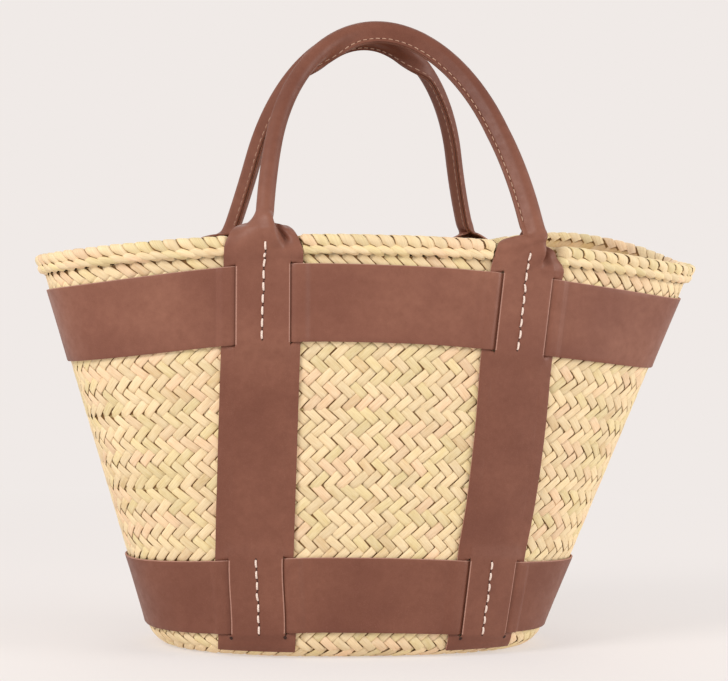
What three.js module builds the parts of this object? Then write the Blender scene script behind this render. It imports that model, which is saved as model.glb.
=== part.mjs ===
// A straw tote bag: an oval basket of plaited palm leaf, held by leather bands and straps, with two handles.
// Millimetres, +Z up. X runs along the mouth, the front faces -Y, and the origin is on the ground under
// the middle of the mouth.
import * as THREE from "three";

// Basket: outer size of the plaited wall
const mouthHalfLength = 270;
const mouthHalfDepth = 102;
const mouthSquareness = 2.7;
const baseHalfLength = 156;
const baseHalfDepth = 97;
const baseSquareness = 2.3;
const baseShift = 16;
const basketHeight = 330;
const endDroop = 20;
const endDroopPower = 1.6;
const backRise = 26;
const backRiseAngle = 46;
const backRiseSpread = 28;
const floorCornerRadius = 14;
const wallThickness = 4.5;
const floorThickness = 5;
const courseRows = [7, 6, 6, 6, 6];
const twineThickness = 1.5;

// Rim braid
const rimHeight = 18.5;
const rimOverhang = 4.5;
const rimInset = 7.5;
const rimRounding = 6;

// Leather
const leatherThickness = 1.8;
const bandEndGap = 0.5;
const bandRamp = 3;
const topBandLow = 239;
const topBandHeight = 60;
const bottomBandLow = 17;
const bottomBandHeight = 58;
const strapWidth = 60;
const strapSpacingAtMouth = 209;
const strapSpacingAtBase = 182;
const strapFootLevel = 5.6;
const rimCoverRise = 2;
const marginWidth = 8;
const slitWidth = 3.2;
const slitOverrun = 3.5;
const slitLift = 1.2;
const slitRelease = 7;
const bandArch = 6;
const bandArchAngle = 100;
const bandArchSpread = 29;
const bottomArchShare = 0.65;

// Handles
const tubeRadius = 7;
const seamFlange = 4.5;
const hingeRise = 2.5;
const shoulderHeight = 18;
const frontHandleTop = 506;
const backHandleTop = 503;
const frontHandleHalfWidth = 103;
const backHandleHalfWidth = 93;
const frontHandleShift = 2.7;
const backHandleShift = 0;
const handleParting = 1;
const archStart = 20;
const flareHeight = 80;
const seamTwistStart = 22;
const seamTwistHeight = 110;

// Thread
const threadThickness = 1;
const threadLift = 0.8;
const grooveDepth = 1.4;
const grooveHalfWidth = 0.85;
const grooveSlope = 0.3;
const rimStitchDrop = 7;
const stitchPitch = 9.2;
const stitchMargin = 1;
const seamThreadShare = 0.6;

// Clearance between neighbours that touch on the real bag
const clearance = 0.3;

// Fineness of the faceted surfaces
const middleShares = [0, 0.5];
const endShares = [0.2, 0.38, 0.5, 0.58, 0.66, 0.75, 0.87, 1];
const floorShares = [0, 0.1, 0.4, 1];
const cornerShares = [0.64, 1];
const strapFootShare = 0.3;
const rimBendShare = 0.67;
const arcSamples = 400;
const rowSpacing = 0.2;
const leastRoll = 0.001;
const shoulderStages = [0, 0.12, 0.27, 0.44, 0.62, 0.8, 1];
const tubeStations = 28;
const routeSamples = 600;
const arcPoints = 11;
const coreSides = 8;
const tubeFlatShare = 0.9;
const quarterTurn = Math.PI / 2;

const plainMaterial = (color, roughness) => new THREE.MeshStandardMaterial({ color, roughness });
const palmMaterial = () => plainMaterial(0xe6d3a0, 0.75);
const twineMaterial = () => plainMaterial(0xc9b582, 0.9);
const leatherMaterial = () => plainMaterial(0x7d4f43, 0.55);
const threadMaterial = () => plainMaterial(0xe2cdb4, 0.8);
const ropeMaterial = () => plainMaterial(0xb9a27c, 0.9);

const mix = (from, to, share) => from + (to - from) * share;
const clamp01 = (value) => Math.min(1, Math.max(0, value));
const ease = (value) => clamp01(value) ** 2 * (3 - 2 * clamp01(value));
const signedPower = (value, power) => Math.sign(value) * Math.abs(value) ** power;

// The wall's outer surface. A level is a height up the wall at the front's middle, and theta runs from
// the +X end by the back, so the front's middle is at minus a quarter turn.
function planPoint(theta, level, offset) {
  const share = level / basketHeight;
  const power = 2 / mix(baseSquareness, mouthSquareness, share);
  const grown = offset - cornerInset(level);
  const halfLength = mix(baseHalfLength, mouthHalfLength, share) + grown;
  const halfDepth = mix(baseHalfDepth, mouthHalfDepth, share) + grown;
  const x = halfLength * signedPower(Math.cos(theta), power) - baseShift * (1 - share);
  return [x, halfDepth * signedPower(Math.sin(theta), power)];
}

// How far the wall draws in as it rounds into the floor
function cornerInset(level) {
  const below = Math.max(0, floorCornerRadius - level);
  return floorCornerRadius - Math.sqrt(floorCornerRadius ** 2 - below ** 2);
}

// How far the mouth's edge lies above or below its height at the front's middle
function rimRise(theta) {
  const away = (THREE.MathUtils.radToDeg(theta) - backRiseAngle) / backRiseSpread;
  return backRise * Math.exp(-(away ** 2)) - endDroop * Math.abs(Math.cos(theta)) ** endDroopPower;
}

function wallPoint(theta, level, offset) {
  const [x, y] = planPoint(theta, level, offset);
  const wallShare = Math.max(0, level - floorThickness) / (basketHeight - floorThickness);
  return new THREE.Vector3(x, y, level + rimRise(theta) * wallShare);
}

// Running length round a quarter of the wall, from the middle of a face to the end of the bag
const quarterTables = new Map();
function quarterTable(level) {
  if (!quarterTables.has(level)) {
    const table = [{ arc: 0, turned: 0 }];
    let [lastX, lastY] = planPoint(quarterTurn, level, 0);
    for (let step = 1; step <= arcSamples; step += 1) {
      const turned = (quarterTurn * step) / arcSamples;
      const [x, y] = planPoint(quarterTurn - turned, level, 0);
      table.push({ arc: table[step - 1].arc + Math.hypot(x - lastX, y - lastY), turned });
      [lastX, lastY] = [x, y];
    }
    quarterTables.set(level, table);
  }
  return quarterTables.get(level);
}
const quarterLength = (level) => quarterTable(level)[arcSamples].arc;

// The angle away from a face's middle at which this running length is reached
function turnedAt(arc, level) {
  const table = quarterTable(level);
  const after = table.findIndex((entry) => entry.arc >= arc);
  if (after === 0) return 0;
  if (after < 0) return quarterTurn;
  const [low, high] = [table[after - 1], table[after]];
  return mix(low.turned, high.turned, (arc - low.arc) / (high.arc - low.arc));
}

// A face is -1 for the front and 1 for the back, and arc is positive towards +X
function faceAngle(face, arc, level) {
  return face * (quarterTurn - Math.sign(arc) * turnedAt(Math.abs(arc), level));
}

// Straps: their places round the bag, and the parts of their width
const strapSites = [
  { name: "front_left", face: -1, side: -1 },
  { name: "front_right", face: -1, side: 1 },
  { name: "back_left", face: 1, side: -1 },
  { name: "back_right", face: 1, side: 1 },
];
const bandEnds = strapSites[2];
const strapArc = (level) => mix(strapSpacingAtBase, strapSpacingAtMouth, level / basketHeight) / 2;
const siteAngle = ({ face, side }, distance, level) =>
  faceAngle(face, side * (strapArc(level) + distance), level);
const marginEdge = strapWidth / 2 - marginWidth;
const tongueEdge = marginEdge - slitWidth;
const bandFoot = strapWidth / 2 + clearance + bandRamp;
const mirrored = (distances) => [...distances.map((distance) => -distance).reverse(), ...distances];

// Columns round the bag follow the straps, which draw together towards the floor: each keeps its distance
// from a strap's middle, or its share of the stretch beside the strap
function roundColumns(distancesAt) {
  const columns = [];
  for (const [face, side] of [[-1, 1], [1, 1], [1, -1], [-1, -1]]) {
    const quarter = [
      ...middleShares.map((share) => ({ arc: (level) => share * (strapArc(level) - bandFoot) })),
      ...distancesAt(face, side).map((distance) => ({
        distance,
        arc: (level) => strapArc(level) + distance,
      })),
      ...endShares.map((share) => ({
        arc: (level) => mix(strapArc(level) + bandFoot, quarterLength(level), share),
      })),
    ];
    if (face === side) quarter.reverse();
    for (const { arc, distance } of quarter.slice(0, -1)) {
      columns.push({ distance, at: (level) => faceAngle(face, side * arc(level), level) });
    }
  }
  return columns;
}
const wallColumns = roundColumns(() => mirrored([tongueEdge / 2, marginEdge, bandFoot]));

function meshVolume(points, faces) {
  let volume = 0;
  for (const [a, b, c] of faces) {
    volume += points[a].dot(new THREE.Vector3().crossVectors(points[b], points[c]));
  }
  return volume;
}

// A closed body from points and triangles, turned so that its faces point out
function bodyFrom(points, faces) {
  const outward = meshVolume(points, faces) > 0;
  const geometry = new THREE.BufferGeometry();
  const flat = points.flatMap((point) => [point.x, point.y, point.z]);
  geometry.setAttribute("position", new THREE.Float32BufferAttribute(flat, 3));
  geometry.setIndex(faces.flatMap(([a, b, c]) => (outward ? [a, b, c] : [a, c, b])));
  geometry.computeVertexNormals();
  return geometry;
}

// A sheet with an inner and an outer skin over a grid of columns and rows. Cells that keeps() turns down
// are holes, and every open edge gets a side. Where a cell is twisted, each skin is split along the diagonal
// that leaves the sheet thinner, so that layers laid over each other stay apart.
function sheetBody(columnCount, rowCount, pointAt, closed = false, keeps = () => true) {
  const points = [];
  const faces = [];
  const seen = new Map();
  const wrap = (column) => (closed ? (column + columnCount) % columnCount : column);
  const cellColumns = closed ? columnCount : columnCount - 1;
  const vertex = (column, row, skin) => {
    const key = `${wrap(column)} ${row} ${skin}`;
    if (!seen.has(key)) {
      seen.set(key, points.length);
      points.push(pointAt(wrap(column), row, skin));
    }
    return seen.get(key);
  };
  const kept = (column, row) => {
    if (row < 0 || row >= rowCount - 1) return false;
    if (!closed && (column < 0 || column >= cellColumns)) return false;
    return keeps(wrap(column), row);
  };
  const quad = (a, b, c, d) => faces.push([a, b, c], [a, c, d]);
  for (let column = 0; column < cellColumns; column += 1) {
    for (let row = 0; row < rowCount - 1; row += 1) {
      if (!kept(column, row)) continue;
      const corner = (right, up, skin) => vertex(column + right, row + up, skin);
      const out = points[corner(0, 0, 1)].clone().sub(points[corner(0, 0, 0)]);
      const ridge = (skin) => {
        const at = (right, up) => points[corner(right, up, skin)];
        return at(0, 0).clone().add(at(1, 1)).sub(at(1, 0)).sub(at(0, 1)).dot(out) > 0;
      };
      if (ridge(1)) quad(corner(1, 0, 1), corner(1, 1, 1), corner(0, 1, 1), corner(0, 0, 1));
      else quad(corner(0, 0, 1), corner(1, 0, 1), corner(1, 1, 1), corner(0, 1, 1));
      if (ridge(0)) quad(corner(0, 0, 0), corner(0, 1, 0), corner(1, 1, 0), corner(1, 0, 0));
      else quad(corner(0, 1, 0), corner(1, 1, 0), corner(1, 0, 0), corner(0, 0, 0));
      if (!kept(column, row - 1)) quad(corner(0, 0, 0), corner(1, 0, 0), corner(1, 0, 1), corner(0, 0, 1));
      if (!kept(column, row + 1)) quad(corner(1, 1, 0), corner(0, 1, 0), corner(0, 1, 1), corner(1, 1, 1));
      if (!kept(column - 1, row)) quad(corner(0, 1, 0), corner(0, 0, 0), corner(0, 0, 1), corner(0, 1, 1));
      if (!kept(column + 1, row)) quad(corner(1, 0, 0), corner(1, 1, 0), corner(1, 1, 1), corner(1, 0, 1));
    }
  }
  return bodyFrom(points, faces);
}

// A ring round the bag whose section is a closed loop of [offset, level] points
function ringBody(section) {
  const points = [];
  const faces = [];
  for (const { at } of wallColumns) {
    for (const [offset, level] of section) points.push(wallPoint(at(level), level, offset));
  }
  const size = section.length;
  for (let column = 0; column < wallColumns.length; column += 1) {
    const next = (column + 1) % wallColumns.length;
    for (let side = 0; side < size; side += 1) {
      const other = (side + 1) % size;
      const [a, b] = [column * size + side, next * size + side];
      const [c, d] = [next * size + other, column * size + other];
      faces.push([a, b, c], [a, c, d]);
    }
  }
  return bodyFrom(points, faces);
}

// A body swept through loops of points. Each loop's first half runs against its second half, so both
// ends close with a ladder of faces.
function sweptBody(loops) {
  const points = loops.flat();
  const size = loops[0].length;
  const faces = [];
  for (let row = 0; row < loops.length - 1; row += 1) {
    for (let side = 0; side < size; side += 1) {
      const other = (side + 1) % size;
      const [a, b] = [row * size + side, row * size + other];
      faces.push([a, b, b + size], [a, b + size, a + size]);
    }
  }
  const last = (loops.length - 1) * size;
  for (let rung = 0; rung < size / 2 - 1; rung += 1) {
    const [a, b, c, d] = [rung, rung + 1, size - 2 - rung, size - 1 - rung];
    faces.push([b, a, c], [a, d, c]);
    faces.push([last + a, last + b, last + c], [last + a, last + c, last + d]);
  }
  return bodyFrom(points, faces);
}

function named(name, geometry, material) {
  const mesh = new THREE.Mesh(geometry, material);
  mesh.name = name;
  return mesh;
}

// Floor: a flat oval slab whose edge follows the wall's rounding
function floorBody() {
  const levels = floorShares.map((share) => share * floorThickness);
  const points = [];
  const faces = [];
  for (const level of levels) {
    for (const { at } of wallColumns) points.push(wallPoint(at(level), level, 0));
  }
  const count = wallColumns.length;
  for (let column = 0; column < count; column += 1) {
    const next = (column + 1) % count;
    for (let row = 0; row < levels.length - 1; row += 1) {
      const [a, b] = [row * count + column, row * count + next];
      faces.push([a, b, b + count], [a, b + count, a + count]);
    }
  }
  const under = points.push(new THREE.Vector3(-baseShift, 0, 0)) - 1;
  const over = points.push(new THREE.Vector3(-baseShift, 0, floorThickness)) - 1;
  const topRow = (levels.length - 1) * count;
  for (let column = 0; column < count; column += 1) {
    const next = (column + 1) % count;
    faces.push([under, next, column], [over, topRow + column, topRow + next]);
  }
  return bodyFrom(points, faces);
}

// Wall: turns of the plaited strip, each some rows of the plait high, with sewing twine between their edges
const wallFoot = floorThickness + clearance;
const wallTop = basketHeight - rimHeight;
const rowsUpTo = (course) => courseRows.slice(0, course).reduce((sum, rows) => sum + rows, 0);
const seamLevel = (seam) => mix(wallFoot, wallTop, rowsUpTo(seam) / rowsUpTo(courseRows.length));
const twineGap = twineThickness + 2 * clearance;

function courseBody(course) {
  const isTop = course === courseRows.length - 1;
  const low = seamLevel(course) + (course === 0 ? 0 : twineGap / 2);
  const high = seamLevel(course + 1) - (isTop ? clearance : twineGap / 2);
  const corner = cornerShares.map((share) => share * floorCornerRadius);
  const levels = [low, ...corner.filter((level) => level > low && level < high), high];
  const pointAt = (column, row, skin) =>
    wallPoint(wallColumns[column].at(levels[row]), levels[row], (skin - 1) * wallThickness);
  return sheetBody(wallColumns.length, levels.length, pointAt, true);
}

function twineBody(seam) {
  const low = seamLevel(seam) - twineThickness / 2;
  const high = low + twineThickness;
  const outer = (twineThickness - wallThickness) / 2;
  const inner = outer - twineThickness;
  return ringBody([[inner, low], [outer, low], [outer, high], [inner, high]]);
}

function rimBody() {
  const high = basketHeight;
  const [innerSide, outerSide] = [-rimInset, rimOverhang];
  return ringBody([
    [outerSide - rimRounding / 2, wallTop],
    [outerSide, wallTop + rimRounding],
    [outerSide, high - rimRounding],
    [outerSide - rimRounding / 2, high],
    [innerSide + rimRounding / 2, high],
    [innerSide, high - rimRounding],
    [innerSide, wallTop + rimRounding],
    [innerSide + rimRounding / 2, wallTop],
  ]);
}

// Leather layers, measured out from the wall: what lies on the wall, and what lies on that
const lowLayer = clearance;
const highLayer = lowLayer + leatherThickness + clearance;
const topBandHigh = topBandLow + topBandHeight;
const bottomBandHigh = bottomBandLow + bottomBandHeight;
const rimFace = rimOverhang + clearance;
const rimCover = wallTop + rimCoverRise;
const lowSlit = [bottomBandLow - slitOverrun, bottomBandHigh + slitOverrun];
const highSlit = [topBandLow - slitOverrun, topBandHigh + slitOverrun];

// Straight runs between [place, value] pairs
function stepped(steps, place) {
  if (place <= steps[0][0]) return steps[0][1];
  for (let index = 1; index < steps.length; index += 1) {
    const [[low, from], [high, to]] = [steps[index - 1], steps[index]];
    if (place <= high) return mix(from, to, (place - low) / (high - low));
  }
  return steps[steps.length - 1][1];
}

// A point of the leather: the bands arch up over the middle of each face, and the straps' slits with them
function leatherPoint(theta, level, offset) {
  const away = (Math.abs(THREE.MathUtils.radToDeg(theta)) - bandArchAngle) / bandArchSpread;
  const share = stepped([
    [strapFootLevel, 0],
    [lowSlit[0], bottomArchShare],
    [lowSlit[1], bottomArchShare],
    [highSlit[0], 1],
    [highSlit[1], 1],
    [rimCover, 0],
  ], level);
  return wallPoint(theta, level + bandArch * share * Math.exp(-(away ** 2)), offset);
}

// Height of a band above the wall at a distance from a strap's middle: under the tongue it is low,
// over the margins it is high
function bandLayer(distance) {
  const away = Math.abs(distance);
  const steps = [
    [tongueEdge + clearance, lowLayer],
    [marginEdge - clearance, highLayer],
    [strapWidth / 2 + clearance, highLayer],
    [bandFoot, lowLayer],
  ];
  return stepped(steps, away);
}

// A band runs round the bag from one of its ends to the other, which meet behind a strap's tongue
function bandBody(low, high) {
  const half = [
    tongueEdge / 2,
    tongueEdge + clearance,
    marginEdge - clearance,
    strapWidth / 2 + clearance,
    bandFoot,
  ];
  const passing = [...half.map((distance) => -distance).reverse(), 0, ...half];
  const ending = mirrored([bandEndGap / 2, ...half]);
  const isEnd = (face, side) => face === bandEnds.face && side === bandEnds.side;
  const round = roundColumns((face, side) => (isEnd(face, side) ? ending : passing));
  const start = round.findIndex(({ distance }) => distance === bandEndGap / 2);
  const columns = [...round.slice(start), ...round.slice(0, start)];
  const levels = [low, high];
  return sheetBody(columns.length, levels.length, (column, row, skin) => {
    const { at, distance } = columns[column];
    const layer = distance === undefined ? lowLayer : bandLayer(distance);
    return leatherPoint(at(levels[row]), levels[row], layer + skin * leatherThickness);
  });
}

// Straps: the tongue rises over each band and the margins stay under it
const tongueSteps = [
  [mix(strapFootLevel, lowSlit[0], strapFootShare), lowLayer],
  [lowSlit[0], slitLift],
  [bottomBandLow, highLayer],
  [bottomBandHigh, highLayer],
  [lowSlit[1], slitLift],
  [lowSlit[1] + slitRelease, lowLayer],
  [highSlit[0] - slitRelease, lowLayer],
  [highSlit[0], slitLift],
  [topBandLow, highLayer],
  [highSlit[1], highLayer],
  [rimCover, rimFace],
];
const marginSteps = tongueSteps.map(([level, layer]) => {
  const underBand = level === bottomBandLow || level === bottomBandHigh || level === topBandLow;
  return [level, underBand ? lowLayer : layer];
});
marginSteps.splice(-2, 0, [topBandHigh, lowLayer]);
const tongueLayer = (level) => stepped(tongueSteps, level);
const marginLayer = (level) => stepped(marginSteps, level);

// Stitches: each run of thread lies in a groove down the middle of the tongue
const grooves = {
  top: [topBandLow, basketHeight - rimStitchDrop],
  bottom: [bottomBandLow, bottomBandHigh],
};
const inGroove = (level) => Object.values(grooves).some(([low, high]) => level >= low && level <= high);

// Each handle swings on a line through the tops of its two straps
const hingeLayer = rimFace + leatherThickness / 2;
function handleFoot(site) {
  const foot = wallPoint(siteAngle(site, 0, basketHeight), basketHeight, hingeLayer);
  foot.z += hingeRise;
  return foot;
}

const sitesOf = (face) => strapSites.filter((site) => site.face === face);
function hingeDirection(face) {
  const [left, right] = sitesOf(face).map(handleFoot);
  return right.sub(left).normalize();
}

// Sorted values, leaving out those that fall on the one before
function distinct(values) {
  const sorted = [...values].sort((one, other) => one - other);
  return sorted.filter((value, index) => index === 0 || value - sorted[index - 1] > rowSpacing);
}

function strapBody(site) {
  const distances = mirrored([
    grooveHalfWidth,
    grooveHalfWidth + grooveSlope,
    tongueEdge / 2,
    tongueEdge,
    marginEdge,
    strapWidth / 2,
  ]);
  const levels = distinct([
    strapFootLevel,
    ...tongueSteps.map(([level]) => level),
    topBandHigh,
    (lowSlit[1] + highSlit[0]) / 2,
    ...Object.values(grooves).flat(),
    grooves.top[1] + grooveSlope,
    basketHeight - rimRounding * rimBendShare,
  ]);
  const hinge = hingeDirection(site.face);
  const foot = handleFoot(site);
  const slitCell = (column, row) => {
    const middle = Math.abs(distances[column] + distances[column + 1]) / 2;
    const beside = middle > tongueEdge && middle < marginEdge;
    return beside && [lowSlit, highSlit].some(([low, high]) => levels[row] >= low && levels[row] < high);
  };
  const pointAt = (column, row, skin) => {
    const distance = distances[column];
    if (row === levels.length) {
      const top = foot.clone().addScaledVector(hinge, distance);
      top.y += site.face * (skin - 0.5) * leatherThickness;
      top.z -= leatherThickness / 2 + clearance;
      return top;
    }
    const level = levels[row];
    const layer = Math.abs(distance) <= tongueEdge ? tongueLayer(level) : marginLayer(level);
    const grooved = skin === 1 && Math.abs(distance) <= grooveHalfWidth && inGroove(level);
    const offset = layer + skin * leatherThickness - (grooved ? grooveDepth : 0);
    return leatherPoint(siteAngle(site, distance, level), level, offset);
  };
  const keeps = (column, row) => !slitCell(column, row);
  return sheetBody(distances.length, levels.length + 1, pointAt, false, keeps);
}

// A square rod through stations, each a middle with the two directions of its section
function rodBody(stations, thickness) {
  const corners = [[-1, -1], [1, -1], [1, 1], [-1, 1]];
  return sweptBody(stations.map(({ middle, across, out }) => corners.map(([side, up]) => {
    const corner = middle.clone().addScaledVector(across, (side * thickness) / 2);
    return corner.addScaledVector(out, (up * thickness) / 2);
  })));
}

// One running stitch down a tongue: it dips into the groove between stitches and rises over each one
function stitchBody(site, [grooveLow, grooveHigh]) {
  const [low, high] = [grooveLow + stitchMargin, grooveHigh - stitchMargin];
  const count = Math.round((high - low) / stitchPitch);
  const bed = leatherThickness - grooveDepth + clearance + threadThickness / 2;
  const halves = Array.from({ length: 2 * count + 1 }, (_, half) => mix(low, high, half / (2 * count)));
  const kinks = tongueSteps.map(([level]) => level).filter((level) => level > low && level < high);
  const spots = distinct([...halves, ...kinks]).map((level) => {
    const along = ((level - low) / (high - low)) * count;
    const lift = threadLift * (1 - Math.abs(2 * (along - Math.floor(along)) - 1));
    const theta = siteAngle(site, 0, level);
    const middle = leatherPoint(theta, level, tongueLayer(level) + bed + lift);
    return { middle, out: middle.clone().sub(leatherPoint(theta, level, 0)).normalize() };
  });
  return rodBody(spots.map(({ middle, out }, index) => {
    const before = spots[Math.max(0, index - 1)].middle;
    const after = spots[Math.min(spots.length - 1, index + 1)].middle;
    const across = new THREE.Vector3().crossVectors(after.clone().sub(before), out).normalize();
    return { middle, out, across };
  }), threadThickness);
}

// The plane a handle stands in: it leans in until the two tubes nearly touch over the mouth
const midRadius = tubeRadius - leatherThickness / 2;
function handleFrame({ face, top, halfWidth, shift }) {
  const [left, right] = sitesOf(face).map(handleFoot);
  const hinge = hingeDirection(face);
  const middle = left.clone().lerp(right, 0.5);
  const inward = new THREE.Vector3(0, -face, 0);
  const upright = new THREE.Vector3(-hinge.z, 0, hinge.x);
  const reach = Math.abs(middle.y) - tubeRadius - handleParting / 2;
  const height = (top - tubeRadius - middle.z) / upright.z;
  const rise = Math.sqrt(reach ** 2 + height ** 2 - midRadius ** 2);
  const lean = Math.atan2(reach, height) - Math.atan2(midRadius, rise);
  const up = upright.clone().multiplyScalar(Math.cos(lean)).addScaledVector(inward, Math.sin(lean));
  const back = inward.clone().multiplyScalar(Math.cos(lean)).addScaledVector(upright, -Math.sin(lean));
  const footMiddle = middle.clone().addScaledVector(back, midRadius);
  const footHalf = left.distanceTo(right) / 2;
  return { hinge, up, back, inward, footMiddle, rise, footHalf, halfWidth, shift };
}

// The route in that plane: straight legs, then half an ellipse, shifted a little towards one end of the
// bag. A turn runs from 0 at the left spring of the arch to half a turn at the right one, and on past
// them down the legs.
function routeAt(frame, turn) {
  const { halfWidth, shift } = frame;
  const archHeight = frame.rise - archStart;
  const past = Math.max(0, -turn, turn - Math.PI);
  const height = archStart + archHeight * (past > 0 ? -past : Math.sin(turn));
  const side = turn < quarterTurn ? -1 : 1;
  const flare = (frame.footHalf - halfWidth - side * shift) * clamp01(1 - height / flareHeight) ** 2;
  const width = halfWidth * Math.cos(Math.min(turn, Math.PI - turn) > 0 ? turn : 0);
  return [shift + side * (Math.abs(width) + flare), height];
}

// Turns of a handle's stations: close together over the shoulders, where the strip rolls up, and evenly
// spaced along the tube
function handleTurns(frame) {
  const shoulders = shoulderStages.map((stage) => {
    return (stage * shoulderHeight - archStart) / (frame.rise - archStart);
  });
  const start = shoulders[shoulders.length - 1];
  const samples = Array.from({ length: routeSamples + 1 }, (_, index) => {
    return mix(start, Math.PI - start, index / routeSamples);
  });
  const lengths = [0];
  for (let index = 1; index <= routeSamples; index += 1) {
    const [x0, h0] = routeAt(frame, samples[index - 1]);
    const [x1, h1] = routeAt(frame, samples[index]);
    lengths.push(lengths[index - 1] + Math.hypot(x1 - x0, h1 - h0));
  }
  const tube = Array.from({ length: tubeStations - 1 }, (_, index) => {
    const wanted = (lengths[routeSamples] * (index + 1)) / tubeStations;
    return samples[lengths.findIndex((length) => length >= wanted)];
  });
  return [...shoulders, ...tube, ...shoulders.map((turn) => Math.PI - turn).reverse()];
}

// A station's place and directions. The strip's outer face is at front, deep points to where its two
// edges meet, and the seam turns from the mouth's side at the feet to the arch's hollow side.
function handleStation(frame, turn) {
  const step = 1e-4;
  const [x, height] = routeAt(frame, turn);
  const [x0, h0] = routeAt(frame, turn - step);
  const [x1, h1] = routeAt(frame, turn + step);
  const length = Math.hypot(x1 - x0, h1 - h0);
  const [overX, overUp] = [(x1 - x0) / length, (h1 - h0) / length];
  const hollow = frame.hinge.clone().multiplyScalar(overUp).addScaledVector(frame.up, -overX);
  const along = frame.hinge.clone().multiplyScalar(overX).addScaledVector(frame.up, overUp);
  const twist = quarterTurn * ease((height - seamTwistStart) / seamTwistHeight);
  const [turned, kept] = [Math.sin(twist), Math.cos(twist)];
  const tubeDeep = frame.back.clone().multiplyScalar(kept).addScaledVector(hollow, turned);
  const tubeAcross = hollow.multiplyScalar(kept).addScaledVector(frame.back, -turned);
  const stage = ease(height / shoulderHeight);
  const footAcross = frame.hinge.clone().multiplyScalar(turn < quarterTurn ? 1 : -1);
  const middle = frame.footMiddle.clone().addScaledVector(frame.hinge, x).addScaledVector(frame.up, height);
  return {
    stage,
    along,
    middle,
    front: middle.clone().addScaledVector(tubeDeep, -midRadius),
    deep: frame.inward.clone().lerp(tubeDeep, stage).normalize(),
    across: footAcross.lerp(tubeAcross, stage).normalize(),
  };
}

// Middle line of the strip's section: 0 is flat, 1 is a tube with its two edges laid together
const closedHalf = Math.PI - Math.asin((leatherThickness + clearance) / 2 / midRadius);
function stripLine(stage) {
  const arc = mix(strapWidth - 2 * seamFlange, 2 * closedHalf * midRadius, stage);
  const roll = mix(leastRoll, closedHalf, stage);
  const radius = arc / (2 * roll);
  const line = Array.from({ length: arcPoints }, (_, index) => {
    const turn = mix(-roll, roll, index / (arcPoints - 1));
    return [radius * Math.sin(turn), radius * (1 - Math.cos(turn))];
  });
  const [edge, depth] = line[arcPoints - 1];
  const tipWidth = edge + seamFlange * Math.cos(quarterTurn * stage);
  const tipDepth = depth + seamFlange * Math.sin(quarterTurn * stage);
  return [[-tipWidth, tipDepth], ...line, [tipWidth, tipDepth]];
}

// A line moved sideways by a distance, with mitred corners
function besideLine(line, distance) {
  return line.map(([x, y], index) => {
    const [ax, ay] = line[Math.max(0, index - 1)];
    const [bx, by] = line[Math.min(line.length - 1, index + 1)];
    const before = new THREE.Vector2(x - ax, y - ay).normalize();
    const after = new THREE.Vector2(bx - x, by - y).normalize();
    const along = before.clone().add(after).normalize();
    const mitre = Math.max(along.dot(before), along.dot(after));
    return [x + (along.y * distance) / mitre, y - (along.x * distance) / mitre];
  });
}

// The loop round the strip's section: along its outer face, then back along its inner face
function stripLoop(station, thickness) {
  const line = stripLine(station.stage);
  const outer = besideLine(line, thickness / 2);
  const inner = besideLine(line, -thickness / 2);
  return [...outer, ...inner.reverse()].map(([width, depth]) =>
    station.front.clone().addScaledVector(station.across, width).addScaledVector(station.deep, depth));
}

// The handle's leather. Its two ends are rounded about the line that they swing on.
function handleBody(frame) {
  const stations = handleTurns(frame).map((turn) => handleStation(frame, turn));
  const loops = stations.map((station) => stripLoop(station, leatherThickness));
  const tipReach = (leatherThickness / 2) * Math.SQRT1_2;
  const tip = (station, direction) => stripLoop(station, 2 * tipReach).map((point) =>
    point.addScaledVector(station.along, direction * tipReach));
  return sweptBody([tip(stations[0], -1), ...loops, tip(stations[stations.length - 1], 1)]);
}

// Stations where the tube is closed
const closedStations = (frame) =>
  handleTurns(frame).slice(shoulderStages.length, -shoulderStages.length)
    .map((turn) => handleStation(frame, turn));

function coreBody(frame) {
  const radius = (midRadius - leatherThickness / 2) * tubeFlatShare - clearance;
  return sweptBody(closedStations(frame).map(({ middle, across, deep }) =>
    Array.from({ length: coreSides }, (_, side) => {
      const turn = (4 * quarterTurn * side) / coreSides;
      return middle.clone().addScaledVector(across, radius * Math.cos(turn))
        .addScaledVector(deep, radius * Math.sin(turn));
    })));
}

// The seam's thread, along one side of the two edges
function seamBody(frame) {
  const beside = clearance / 2 + leatherThickness + 2 * clearance + threadThickness / 2;
  const depth = midRadius * (1 - Math.cos(closedHalf)) + seamFlange * seamThreadShare;
  return rodBody(closedStations(frame).map(({ front, across, deep }) => ({
    middle: front.clone().addScaledVector(across, beside).addScaledVector(deep, depth),
    across,
    out: deep,
  })), threadThickness);
}

const bag = new THREE.Group();
bag.add(named("basket_base", floorBody(), palmMaterial()));
for (let course = 0; course < courseRows.length; course += 1) {
  bag.add(named(`wall_course_${course + 1}`, courseBody(course), palmMaterial()));
}
for (let seam = 1; seam < courseRows.length; seam += 1) {
  bag.add(named(`seam_twine_${seam}`, twineBody(seam), twineMaterial()));
}
bag.add(named("rim_braid", rimBody(), palmMaterial()));
bag.add(named("top_band", bandBody(topBandLow, topBandHigh), leatherMaterial()));
bag.add(named("bottom_band", bandBody(bottomBandLow, bottomBandHigh), leatherMaterial()));
for (const site of strapSites) {
  bag.add(named(`${site.name}_strap`, strapBody(site), leatherMaterial()));
  for (const [place, groove] of Object.entries(grooves)) {
    bag.add(named(`${site.name}_${place}_stitching`, stitchBody(site, groove), threadMaterial()));
  }
}
const handles = {
  front_handle: {
    face: -1,
    top: frontHandleTop,
    halfWidth: frontHandleHalfWidth,
    shift: frontHandleShift,
  },
  back_handle: {
    face: 1,
    top: backHandleTop,
    halfWidth: backHandleHalfWidth,
    shift: backHandleShift,
  },
};
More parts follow.
